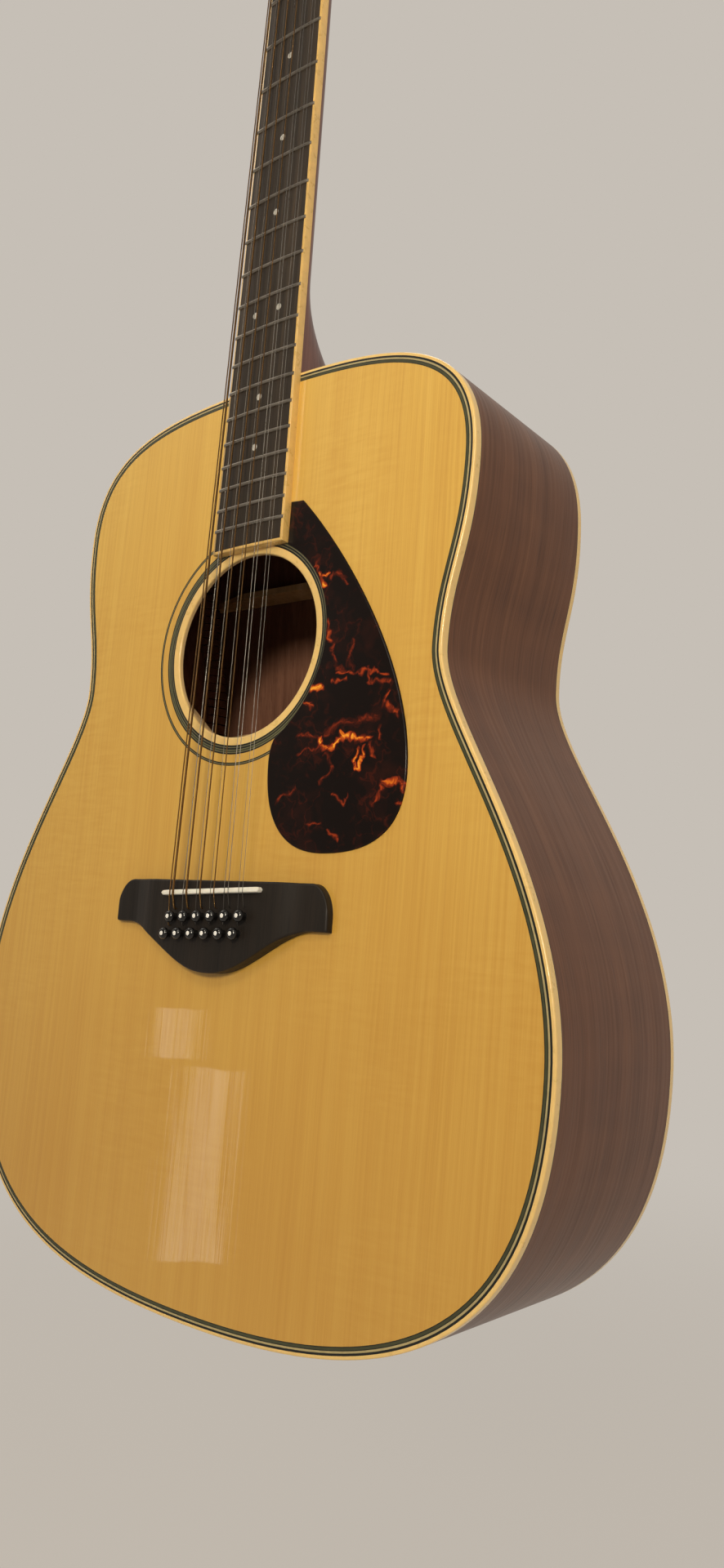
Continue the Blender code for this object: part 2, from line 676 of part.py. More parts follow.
def head_ring(u, w, t=HEAD_T, round_back=0.0):
    ring = [head(-w, u, 0), head(w, u, 0)]
    k = BACK_PTS
    for i in range(1, k + 1):
        a = math.pi * i / (k + 1)
        flat = rect_ring(lambda x, n: (x, n), w, 0.0, -t)[i + 1]
        r = (w * math.cos(a), -t * math.sin(a) ** 0.85)
        ring.append(head(flat[0] + (r[0] - flat[0]) * round_back, u, flat[1] + (r[1] - flat[1]) * round_back))
    return [tuple(p) for p in ring]


rings = []
tz = TOP_Z + 0.5
for z in (TOP_Z - TENON_L, tz):
    rings.append([tuple(p) for p in rect_ring(lambda x, y, z=z: (x, y, z), TENON_W / 2, BIND_H + 0.4, TENON_D)])
for i in range(9):
    s = (i / 8.0) ** 1.6
    rings.append(neck_ring(tz + (HEEL_RUN - 0.5) * s))
for z in (-240, -180, -120, -60, -8):
    rings.append(neck_ring(z))
for u, w, t, rb in ((1.0, 20.7, 13.6, 1.0), (6.0, 21.8, HEAD_T, 0.8), (12.0, 26.6, HEAD_T, 0.35), (18.0, 33.0, HEAD_T, 0.0),
                    (26.0, 35.2, HEAD_T, 0.0), (60.0, 36.2, HEAD_T, 0.0), (130.0, 38.2, HEAD_T, 0.0), (168.0, 39.0, HEAD_T, 0.0),
                    (174.0, 35.5, HEAD_T, 0.0), (178.5, 24.0, HEAD_T, 0.0), (HEAD_LEN, 9.0, HEAD_T, 0.0)):
    rings.append(head_ring(u, w, t, rb))
neck = loft("neck", rings, NECKWOOD, smooth=True)

bm = bmesh.new()
add_box(bm, -3.4, 3.4, -20, 7.2, TOP_Z + 2, -7.0)
rod_cut = cutter(bm, "truss_rod_slot")
boolean(neck, rod_cut, 'DIFFERENCE')
bm = bmesh.new()
add_prism(bm, Vector((0, 3.6, 0)), Z, X, Y, 3.0, TOP_Z + 4, -12.0, 8)
to_object(bm, "truss_rod", METAL)


# ---- tuners ------------------------------------------------------------------------
def post_u(i):
    """Position up the headstock of the i-th post from the nut on its side."""
    return POST_U0 + POST_DU * i


bm = bmesh.new()
for sx in (-1, 1):
    for i in range(6):
        add_prism(bm, head(sx * POST_X, post_u(i), 0), N, X, U, 4.4, -HEAD_T - 5, 5, 8)
post_cut = cutter(bm, "post_hole_cutter")
boolean(neck, post_cut, 'DIFFERENCE')

PLATE_N = -HEAD_T - GAP
TAB_N = WHEEL_N - 3.4          # outer edge of the bearing tabs


def tuner_plate(name, sx):
    """Strip along one side of the headstock's back, with a pair of bearing tabs for each worm."""
    u0, u1 = post_u(0) - 14.5, post_u(5) + 9.0
    w = PLATE_W / 2

    def block(bm, xa, xb, ua, ub, na, nb):
        v = []
        for n in (na, nb):
            for x, u in ((xa, ua), (xb, ua), (xb, ub), (xa, ub)):
                p = head(x, u, n)
                v.append(vert(bm, p))
        for f in ((3, 2, 1, 0), (4, 5, 6, 7), (0, 1, 5, 4), (1, 2, 6, 5), (2, 3, 7, 6), (3, 0, 4, 7)):
            bm.faces.new([v[i] for i in f])

    bm = bmesh.new()
    block(bm, sx * POST_X - w, sx * POST_X + w, u0, u1, PLATE_N, PLATE_N - PLATE_T)
    plate = to_object(bm, name, METAL)
    bm = bmesh.new()
    for i in range(6):
        uc = post_u(i) - WORM_CD
        for xc in (sx * POST_X - 6.4, sx * POST_X + 6.4):
            block(bm, xc - 0.7, xc + 0.7, uc - 3.4, uc + 3.4, PLATE_N - 0.4, TAB_N)
    tabs = cutter(bm, name + "_tabs")
    boolean(plate, tabs, 'UNION')
    bm = bmesh.new()
    for i in range(6):
        add_prism(bm, head(sx * POST_X, post_u(i) - WORM_CD, WHEEL_N), X, U, N, SHAFT_HOLE_R, -14, 14, 6)
        add_prism(bm, head(sx * POST_X, post_u(i), 0), N, X, U, 4.0, -HEAD_T - 8, 0, 8)
    bores = cutter(bm, name + "_bores")
    boolean(plate, bores, 'DIFFERENCE')
    return plate


tuner_plate("tuner_plate_bass", -1)
tuner_plate("tuner_plate_treble", 1)


def skin(bm, a, b):
    n = len(a)
    for i in range(n):
        j = (i + 1) % n
        bm.faces.new((a[i], a[j], b[j], b[i]))


def tuner_post(name, centre):
    """String post with its worm wheel: 14 sides, one tooth to a side, a tooth gap facing the worm."""
    bm = bmesh.new()

    def ring(r, n):
        return [vert(bm, centre + N * n + X * (r * math.cos(a)) + U * (r * math.sin(a)))
                for a in [-math.pi / 2 + 2 * math.pi * k / TEETH for k in range(TEETH)]]

    def teeth(n):
        out = []
        for k in range(TEETH):
            a = -math.pi / 2 + 2 * math.pi * k / TEETH
            for r, off in ((WHEEL_ROOT, 0.0), (WHEEL_TIP, 0.36), (WHEEL_TIP, 0.64)):
                t = a + 2 * math.pi * off / TEETH
                out.append(vert(bm, centre + N * n + X * (r * math.cos(t)) + U * (r * math.sin(t))))
        return out

    lo, hi = WHEEL_N - WHEEL_T / 2, WHEEL_N + WHEEL_T / 2
    end, c, w0, w1 = ring(2.3, lo - 1.4), ring(POST_R, lo), teeth(lo), teeth(hi)
    d, e, f = ring(POST_R, hi), ring(POST_R, POST_UP - 0.8), ring(2.3, POST_UP)
    skin(bm, end, c)
    skin(bm, w0, w1)
    skin(bm, d, e)
    skin(bm, e, f)
    for k in range(TEETH):
        j = (k + 1) % TEETH
        for shaft, rim in ((c, w0), (d, w1)):
            bm.faces.new((shaft[k], rim[3 * k], rim[3 * k + 1], rim[3 * k + 2], rim[(3 * k + 3) % (3 * TEETH)], shaft[j]))
    bm.faces.new(end[::-1])
    bm.faces.new(f)
    return to_object(bm, name, METAL)


def tuner_knob(name, wc, sx):
    """Worm, shaft and oval button in one: the thread is skinned along its own helix."""
    bm = bmesh.new()
    S, T = WORM_SEG, WORM_TURNS
    prof = ((-0.62, WORM_ROOT), (-0.30, WORM_TIP), (0.30, WORM_TIP), (0.62, WORM_ROOT))

    def point(x, r, a):
        return vert(bm, wc + X * x + U * (r * math.cos(a)) + N * (r * math.sin(a)))

    # the thread faces the wheel (+U) at its middle
    rows = []
    for dx, r in prof:
        rows.append([point(PITCH * (s / S - T / 2) + dx, r, 2 * math.pi * (s / S - T / 2)) for s in range(S * T + 1)])
    for s in range(S * T):
        for i in range(3):
            bm.faces.new((rows[i][s], rows[i][s + 1], rows[i + 1][s + 1], rows[i + 1][s]))
    for s in range(S * (T - 1)):
        bm.faces.new((rows[3][s], rows[3][s + 1], rows[0][s + S + 1], rows[0][s + S]))

    def ring(x, r):
        return [point(x, r, 2 * math.pi * s / S - math.pi * T) for s in range(S)]

    half = PITCH * T / 2
    left, right = ring(-half - 1.6, SHAFT_R), ring(half + 1.6, SHAFT_R)
    for s in range(S):
        j = (s + 1) % S
        bm.faces.new((left[s], left[j], rows[0][s + 1], rows[0][s]))
        m = S * (T - 1) + s
        bm.faces.new((rows[3][m], rows[3][m + 1], right[j], right[s]))
    bm.faces.new((left[0], rows[0][0], rows[1][0], rows[2][0], rows[3][0], rows[0][S]))
    e = S * T
    bm.faces.new((right[0], rows[3][e], rows[2][e], rows[1][e], rows[0][e], rows[3][e - S]))
    inner, outer = (left, right) if sx > 0 else (right, left)
    tail = ring(-sx * 7.9, SHAFT_R)
    skin(bm, inner, tail)
    bm.faces.new(tail)
    last = outer
    reach = BUTTON_X - POST_X
    for x, r, hu, hn in ((reach - 6.6, SHAFT_R, 1, 1), (reach - 5.2, 1.0, 3.6, 2.6), (reach - 2.0, 1.0, 7.4, 3.6),
                         (reach + 4.0, 1.0, 8.0, 3.8), (reach + 8.0, 1.0, 4.6, 2.9)):
        nxt = []
        for s in range(S):
            a = 2 * math.pi * s / S - math.pi * T
            nxt.append(vert(bm, wc + X * (sx * x) + U * (r * hu * math.cos(a)) + N * (r * hn * math.sin(a))))
        skin(bm, last, nxt)
        last = nxt
    bm.faces.new(last)
    return to_object(bm, name, METAL)


for i in range(12):
    sx = -1 if i < 6 else 1
    row = i if i < 6 else 11 - i          # outer strings go to the posts nearest the nut
    tag = STRINGS[i][0][len("string_"):]
    tuner_post("post_" + tag, head(sx * POST_X, post_u(row), 0))
    tuner_knob("knob_" + tag, head(sx * POST_X, post_u(row) - WORM_CD, WHEEL_N), sx)


# ---- strings -----------------------------------------------------------------------
def nut_x(i):
    k = i // 2
    left = -NUT_SPREAD + (2 * NUT_SPREAD - NUT_PAIR) * k / 5
    return left + (NUT_PAIR if i % 2 else 0.0)


def saddle_x(i):
    k = i // 2
    return COURSE_X0 + COURSE_PITCH * k - (0.0 if i % 2 else PAIR)


def string_path(i, r):
    """Ball end under the bridge, over saddle and nut, two and a half turns round the post."""
    sx = -1 if i < 6 else 1
    row = i if i < 6 else 11 - i
    px, pz = pin_x(i), pin_z(i)
    nz = pz + NOTCH
    pts = [(px, 5.6, nz), (px, FACE_Y, nz), (px, FACE_Y - 1.1 - r, nz + 1.2 + r)]
    s = saddle_x(i)
    pts.append((s, STRING_SADDLE_Y - GAP * 0.5 - r, saddle_z(s) - SADDLE_T / 2))
    pts.append((s, STRING_SADDLE_Y - GAP - r, saddle_z(s) + 0.4))
    n = nut_x(i)
    pts.append((n, STRING_NUT_Y - GAP - r, 0.6))
    pts.append((n, STRING_NUT_Y - GAP * 0.7 - r, HEAD_Z0 - 0.6))
    c = head(sx * POST_X, post_u(row), 0)
    rad = POST_R + GAP + r
    turns, seg = 1.5, 8
    drop = 2 * r * 1.35
    top = 6.2
    m = int(turns * seg)
    for j in range(m + 1):
        f = j / seg
        a = math.pi - 2 * math.pi * f           # from the inner side, up over the post and round
        p = c + X * (sx * rad * math.cos(a)) + U * (rad * math.sin(a)) + N * (top - drop * f)
        pts.append(tuple(p))
    return pts


for i, (name, dia) in enumerate(STRINGS):
    path = string_path(i, dia / 2)
    cu = bpy.data.curves.new(name, 'CURVE')
    cu.dimensions = '3D'
    cu.bevel_depth = dia / 2 * MM
    cu.bevel_resolution = 1
    cu.use_fill_caps = True
    sp = cu.splines.new('POLY')
    sp.points.add(len(path) - 1)
    for q, p in zip(sp.points, path):
        q.co = (p[0] * MM, p[1] * MM, p[2] * MM, 1.0)
    ob = bpy.data.objects.new(name, cu)
    bpy.context.collection.objects.link(ob)
    cu.materials.append(BRONZE if dia > 0.5 else STEEL)
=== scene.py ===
"""Looks of the twelve-string acoustic guitar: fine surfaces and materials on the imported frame.

Frame: +Z up the neck, +X to the treble side, -Y out of the soundboard, origin at the
nut's front edge in the soundboard's plane.  Sizes below are in millimetres.
"""

import bpy
import bmesh
import math
from mathutils import Matrix, Quaternion, Vector
from mathutils.geometry import tessellate_polygon


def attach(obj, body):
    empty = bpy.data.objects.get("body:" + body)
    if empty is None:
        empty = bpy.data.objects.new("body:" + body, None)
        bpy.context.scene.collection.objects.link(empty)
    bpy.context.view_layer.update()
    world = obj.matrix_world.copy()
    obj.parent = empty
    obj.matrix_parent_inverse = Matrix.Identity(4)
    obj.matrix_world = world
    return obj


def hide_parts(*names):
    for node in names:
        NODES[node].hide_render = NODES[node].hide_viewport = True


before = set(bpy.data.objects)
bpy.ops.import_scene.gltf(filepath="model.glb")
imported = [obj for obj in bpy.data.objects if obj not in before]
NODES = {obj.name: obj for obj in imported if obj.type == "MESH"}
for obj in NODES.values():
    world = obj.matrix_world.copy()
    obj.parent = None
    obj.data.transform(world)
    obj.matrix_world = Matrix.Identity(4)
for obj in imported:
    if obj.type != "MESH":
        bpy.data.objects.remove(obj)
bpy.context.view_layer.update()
MM = 0.001

# ---- sizes shared with the design ------------------------------------------------
SCALE_LEN, FRETS = 634.0, 20
TOP_Z, UPPER_Z, WAIST_Z, LOWER_Z, TAIL_Z = -348.6, -421.6, -516.5, -707.7, -853.5
UPPER_W, WAIST_W, LOWER_W = 144.3, 131.9, 202.8
BACK_TOP, BACK_LOW, BACK_RUN, BACK_ARCH = 101.0, 118.5, 260.0, 4.0
TOP_T, BACK_T = 2.8, 2.6
BIND_W, BIND_H, BACK_BIND_H = 1.8, 4.7, 4.5
HOLE_Z, HOLE_R = -501.5, 51.4
GUARD_R, GUARD_FLARE, GUARD_T = 59.0, 2.4, 0.9
BOARD_NUT, BOARD_TAPER, BOARD_END, BOARD_TOP = 20.4, 0.0134, -447.7, -5.9
NECK_D_NUT, NECK_D_MID = 12.8, 13.2
HEEL_D, HEEL_RUN = 87.0, 56.0
TILT, HEAD_Z0, HEAD_T, HEAD_LEN = math.radians(14.0), 5.5, 14.0, 182.0
POST_U0, POST_DU, POST_X, POST_R, POST_UP = 26.0, 26.0, 24.0, 3.0, 13.0
TEETH, PITCH = 14, 2.55
WHEEL_TIP, WHEEL_ROOT, WHEEL_T = 6.2, 3.9, 3.0
WORM_TIP, WORM_ROOT, WORM_CD = 3.7, 2.3, 9.0
WHEEL_N = -HEAD_T - 1.0 - 4.6
SHAFT_R, BUTTON_X = 1.6, 50.0
SADDLE_Z, SADDLE_SLANT, SADDLE_T, SADDLE_HALF, SADDLE_X = -637.0, 0.0456, 2.7, 35.9, 1.5
STRING_SADDLE_Y, STRING_NUT_Y = -12.5, -8.0
BRIDGE_HALF, FACE_Y, WING_Y = 77.8, -8.5, -4.5
PIN_Z, PIN_SLANT = (-650.0, -659.0), 0.042
COURSE_PITCH, COURSE_X0, PAIR = 10.2, -23.6, 2.7
NUT_SPREAD, NUT_PAIR = 18.0, 2.0
NOTCH = 3.4
STRINGS = [("E3_octave", 0.69, 1), ("E2", 1.19, 1), ("A3_octave", 0.46, 0), ("A2", 0.99, 1),
           ("D4_octave", 0.30, 0), ("D3", 0.76, 1), ("G4_octave", 0.24, 0), ("G3", 0.58, 1),
           ("B3_left", 0.36, 0), ("B3_right", 0.36, 0), ("E4_left", 0.26, 0), ("E4_right", 0.26, 0)]
X, Y, Z = Vector((1, 0, 0)), Vector((0, 1, 0)), Vector((0, 0, 1))
U = Vector((0, math.sin(TILT), math.cos(TILT)))
N = Vector((0, -math.cos(TILT), math.sin(TILT)))


# ===================================================================================
#  node helpers and materials
# ===================================================================================
def srgb(r, g, b):
    out = []
    for c in (r, g, b):
        c = c / 255.0
        out.append(c / 12.92 if c <= 0.04045 else ((c + 0.055) / 1.055) ** 2.4)
    return (*out, 1.0)


def node(nt, kind, ins=None, **props):
    nd = nt.nodes.new("ShaderNode" + kind)
    for k, v in props.items():
        setattr(nd, k, v)
    for k, v in (ins or {}).items():
        s = nd.inputs[k]
        if isinstance(v, bpy.types.NodeSocket):
            nt.links.new(v, s)
        else:
            s.default_value = v
    return nd


def math_node(nt, op, a, b=0.0, c=None, clamp=False):
    ins = {0: a, 1: b}
    if c is not None:
        ins[2] = c
    return node(nt, "Math", ins, operation=op, use_clamp=clamp).outputs[0]


def ramp(nt, fac, stops, interp='LINEAR'):
    nd = node(nt, "ValToRGB", {"Fac": fac})
    cr = nd.color_ramp
    cr.interpolation = interp
    while len(cr.elements) < len(stops):
        cr.elements.new(0.5)
    for e, (p, c) in zip(cr.elements, stops):
        e.position = p
        e.color = c if len(c) == 4 else (*c, 1.0)
    return nd.outputs["Color"]


def grey(v):
    return (v, v, v, 1.0)


def mix(nt, fac, a, b, mode='MIX'):
    nd = node(nt, "Mix", None, data_type='RGBA', blend_type=mode)
    for key, v in (("Factor", fac), ("A", a), ("B", b)):
        s = [q for q in nd.inputs if q.name == key and q.enabled][0]
        if isinstance(v, bpy.types.NodeSocket):
            nt.links.new(v, s)
        else:
            s.default_value = v
    return [q for q in nd.outputs if q.enabled][0]


def noise_tex(nt, vec, scale=1.0, detail=2.0, rough=0.5, distortion=0.0):
    return node(nt, "TexNoise", {"Vector": vec, "Scale": scale, "Detail": detail, "Roughness": rough,
                                 "Distortion": distortion}, noise_dimensions='3D')


def stretched(nt, vec, sx, sy, sz):
    return node(nt, "VectorMath", {0: vec, 1: (sx, sy, sz)}, operation='MULTIPLY').outputs[0]


def start(name):
    m = bpy.data.materials.new(name)
    m.use_nodes = True
    nt = m.node_tree
    return m, nt, nt.nodes["Principled BSDF"]


def coords(nt, uv=False):
    if uv:
        return node(nt, "UVMap", None, uv_map="grain").outputs["UV"]
    return node(nt, "TexCoord").outputs["Object"]


def finish_bsdf(bsdf, rough=0.4, coat=0.0, coat_rough=0.05, metal=0.0, ior=1.5, spec=0.5):
    if rough is not None:
        bsdf.inputs["Roughness"].default_value = rough
    bsdf.inputs["Metallic"].default_value = metal
    bsdf.inputs["IOR"].default_value = ior
    bsdf.inputs["Specular IOR Level"].default_value = spec
    bsdf.inputs["Coat Weight"].default_value = coat
    bsdf.inputs["Coat Roughness"].default_value = coat_rough


def bump(nt, height, strength, distance, bsdf, coat=False):
    b = node(nt, "Bump", {"Height": height, "Strength": strength, "Distance": distance})
    nt.links.new(b.outputs["Normal"], bsdf.inputs["Normal"])
    if coat:
        nt.links.new(b.outputs["Normal"], bsdf.inputs["Coat Normal"])
    return b


def spruce_top():
    """Amber quarter-sawn spruce, book-matched about x = 0, under a clear gloss."""
    m, nt, bsdf = start("spruce_top")
    sep = node(nt, "SeparateXYZ", {0: coords(nt)})
    ax = math_node(nt, 'ABSOLUTE', sep.outputs["X"])
    z = sep.outputs["Z"]
    drift = noise_tex(nt, node(nt, "CombineXYZ", {"X": math_node(nt, 'MULTIPLY', sep.outputs["X"], 9.0),
                                                  "Z": math_node(nt, 'MULTIPLY', z, 2.2)}).outputs[0], 1.0, 2.0)
    axw = math_node(nt, 'ADD', ax, math_node(nt, 'MULTIPLY', math_node(nt, 'SUBTRACT', drift.outputs["Fac"], 0.5), 0.010))

    def streak(a, b, detail, rough=0.55, off=0.0):
        v = node(nt, "CombineXYZ", {"X": math_node(nt, 'MULTIPLY', axw, a), "Y": off,
                                    "Z": math_node(nt, 'MULTIPLY', z, b)}).outputs[0]
        return noise_tex(nt, v, 1.0, detail, rough).outputs["Fac"]

    rings = streak(520.0, 2.0, 3.0, 0.6)
    wide = streak(95.0, 1.0, 3.0, 0.6, 3.1)
    hair = streak(1800.0, 26.0, 2.0, 0.6, 7.7)
    base = ramp(nt, rings, [(0.32, srgb(190, 140, 60)), (0.43, srgb(204, 156, 64)), (0.56, srgb(219, 176, 80)),
                            (0.75, srgb(229, 191, 96))])
    tone = ramp(nt, wide, [(0.3, srgb(199, 150, 62)), (0.52, srgb(215, 171, 77)), (0.75, srgb(227, 188, 92))])
    outer = ramp(nt, ax, [(0.04, grey(0.34)), (0.17, grey(0.62))])
    c = mix(nt, outer, tone, base)
    c = mix(nt, 0.18, c, ramp(nt, hair, [(0.35, srgb(171, 121, 48)), (0.6, srgb(225, 185, 92))]))
    # silk across the grain
    silk_v = node(nt, "CombineXYZ", {"X": math_node(nt, 'MULTIPLY', sep.outputs["X"], 48.0),
                                     "Z": math_node(nt, 'MULTIPLY', z, 300.0)}).outputs[0]
    silk = noise_tex(nt, silk_v, 1.0, 2.0, 0.5, 0.4).outputs["Fac"]
    patch = noise_tex(nt, coords(nt), 11.0, 2.0).outputs["Fac"]
    silk_amt = math_node(nt, 'MULTIPLY', ramp(nt, patch, [(0.42, grey(0)), (0.62, grey(1))]), 0.16)
    c = mix(nt, silk_amt, c, ramp(nt, silk, [(0.35, srgb(191, 142, 56)), (0.65, srgb(237, 200, 106))]))
    # slow amber drift over the plate
    slow = noise_tex(nt, coords(nt), 5.0, 2.0).outputs["Fac"]
    c = mix(nt, 0.35, c, ramp(nt, slow, [(0.35, srgb(203, 154, 62)), (0.65, srgb(221, 179, 84))]))
    nt.links.new(c, bsdf.inputs["Base Color"])
    nt.links.new(ramp(nt, rings, [(0.3, grey(0.34)), (0.7, grey(0.46))]), bsdf.inputs["Roughness"])
    finish_bsdf(bsdf, None, 1.0, 0.022, spec=0.35)
    fine = math_node(nt, 'MULTIPLY', rings, 0.12)
    wav = noise_tex(nt, stretched(nt, coords(nt), 34.0, 34.0, 9.0), 1.0, 1.0).outputs["Fac"]
    # painted shade: the plate is darkened towards the tail, standing in for the light falling off down the top
    low = ramp(nt, math_node(nt, 'MULTIPLY', z, -1.0), [(0.44, grey(0.0)), (0.80, grey(0.5))])
    nt.links.new(mix(nt, low, c, srgb(176, 124, 44), 'MIX'), bsdf.inputs["Base Color"])
    bump(nt, math_node(nt, 'ADD', fine, wav), 0.05, 0.004, bsdf, coat=True)
    return m


def wood(name, dark, mid, light, across, along, uv=False, mirror=False, rough=0.4, coat=0.0, coat_rough=0.1,
         pores=0.0, pore_col=(30, 18, 12), bump_k=0.06, figure=0.0, spec=0.5):
    """Long-grained wood: the grain runs along Z, or along U of the grain map."""
    m, nt, bsdf = start(name)
    src = coords(nt, uv)
    sep = node(nt, "SeparateXYZ", {0: src})
    if uv:
        a, b, g = sep.outputs["Y"], 0.0, sep.outputs["X"]
    else:
        a = math_node(nt, 'ABSOLUTE', sep.outputs["X"]) if mirror else sep.outputs["X"]
        b, g = sep.outputs["Y"], sep.outputs["Z"]

    def vec(ka, kg, off=0.0, aa=None):
        return node(nt, "CombineXYZ", {
            "X": math_node(nt, 'MULTIPLY', aa if aa is not None else a, ka),
            "Y": math_node(nt, 'MULTIPLY_ADD', b, ka, off) if not uv else off,
            "Z": math_node(nt, 'MULTIPLY', g, kg)}).outputs[0]

    drift = noise_tex(nt, vec(8.0, 3.0, 1.3), 1.0, 2.0).outputs["Fac"]
    aw = math_node(nt, 'ADD', a, math_node(nt, 'MULTIPLY', math_node(nt, 'SUBTRACT', drift, 0.5), 0.03))
    s1 = noise_tex(nt, vec(across, along, 0.0, aw), 1.0, 4.0, 0.62).outputs["Fac"]
    s2 = noise_tex(nt, vec(across * 0.16, along * 0.5, 5.0, aw), 1.0, 3.0, 0.6).outputs["Fac"]
    c = ramp(nt, s1, [(0.3, srgb(*dark)), (0.5, srgb(*mid)), (0.72, srgb(*light))])
    c = mix(nt, 0.45, c, ramp(nt, s2, [(0.32, srgb(*dark)), (0.5, srgb(*mid)), (0.7, srgb(*light))]))
    if figure:
        f = noise_tex(nt, vec(14.0, 60.0, 9.0), 1.0, 1.0).outputs["Fac"]
        c = mix(nt, figure, c, ramp(nt, f, [(0.35, srgb(*dark)), (0.65, srgb(*light))]))
    h = s1
    if pores:
        p = noise_tex(nt, vec(across * 4.2, along * 5.0, 2.0, aw), 1.0, 1.0).outputs["Fac"]
        mask = ramp(nt, p, [(0.60, grey(0)), (0.68, grey(1))])
        c = mix(nt, math_node(nt, 'MULTIPLY', mask, pores), c, srgb(*pore_col))
        h = math_node(nt, 'SUBTRACT', s1, math_node(nt, 'MULTIPLY', mask, 1.2))
    nt.links.new(c, bsdf.inputs["Base Color"])
    nt.links.new(ramp(nt, s1, [(0.3, grey(min(rough + 0.08, 1))), (0.7, grey(max(rough - 0.06, 0.02)))]),
                 bsdf.inputs["Roughness"])
    finish_bsdf(bsdf, None, coat, coat_rough, spec=spec)
    bump(nt, h, bump_k, 0.0008, bsdf)
    return m


def plastic(name, rgb, rough=0.3, coat=0.0, speck=0.06, scale=220.0, rgb2=None, coat_rough=0.05, sss=0.0):
    m, nt, bsdf = start(name)
    n1 = noise_tex(nt, coords(nt), scale, 3.0, 0.6).outputs["Fac"]
    n2 = noise_tex(nt, coords(nt), scale * 0.08, 2.0).outputs["Fac"]
    hi = srgb(*[min(255, v * (1 + speck) + 2) for v in rgb])
    lo = srgb(*[v * (1 - speck) for v in rgb]) if rgb2 is None else srgb(*rgb2)
    c = mix(nt, 0.5, ramp(nt, n1, [(0.35, lo), (0.65, hi)]), ramp(nt, n2, [(0.35, lo), (0.65, hi)]))
    nt.links.new(c, bsdf.inputs["Base Color"])
    nt.links.new(ramp(nt, n1, [(0.3, grey(rough * 0.85)), (0.7, grey(min(1.0, rough * 1.2)))]), bsdf.inputs["Roughness"])
    finish_bsdf(bsdf, None, coat, coat_rough)
    if sss:
        bsdf.inputs["Subsurface Weight"].default_value = sss
        bsdf.inputs["Subsurface Radius"].default_value = (0.002, 0.0012, 0.0006)
    bump(nt, n1, 0.03, 0.0002, bsdf)
    return m


# wisps of colour in the pickguard: strength, width and a line of points (x, z), in mm
WISPS = [
    (1.00, 2.0, [(61, -558), (65, -562), (69, -565), (74, -560), (81, -557), (92, -560)]),
    (0.95, 1.6, [(87, -564), (85, -570), (86, -574)]), (0.90, 1.3, [(91, -564), (90, -570), (87, -574)]),
    (1.00, 2.7, [(52, -531), (58, -532)]), (0.65, 1.6, [(50, -538), (54, -540)]), (0.95, 1.6, [(53, -469), (55, -476)]),
    (0.80, 1.3, [(54, -472), (59, -471)]), (0.45, 1.6, [(49, -464), (52, -468)]), (0.70, 1.8, [(104, -581), (114, -582), (116, -586)]),
    (0.50, 1.6, [(104, -582), (103, -587), (99, -591)]), (0.50, 1.3, [(70, -523), (87, -526), (101, -528)]),
    (0.50, 1.3, [(66, -528), (75, -528)]), (0.42, 1.6, [(88, -524), (89, -531), (103, -532)]),
    (0.50, 1.8, [(102, -537), (100, -543), (111, -548)]), (0.55, 1.8, [(59, -497), (63, -506)]),
    (0.36, 1.6, [(65, -508), (68, -520), (74, -523)]), (0.36, 1.6, [(79, -508), (75, -519), (79, -522)]),
    (0.42, 1.5, [(73, -587), (79, -591), (82, -587)]), (0.36, 1.8, [(36, -588), (46, -583)]), (0.38, 1.3, [(58, -601), (65, -602)]),
    (0.48, 1.6, [(72, -605), (77, -609)]), (0.36, 1.3, [(46, -556), (60, -558)]), (0.36, 1.3, [(47, -564), (63, -561)]),
    (0.42, 1.6, [(98, -555), (100, -559)]), (0.46, 1.5, [(94, -563), (97, -568)]), (0.34, 1.5, [(65, -566), (71, -573), (63, -580)]),
    (0.34, 1.8, [(60, -474), (66, -471), (72, -478)]), (0.45, 1.8, [(112, -592), (113, -593)]),
    (0.30, 2.9, [(64, -555), (77, -551), (97, -548)])]


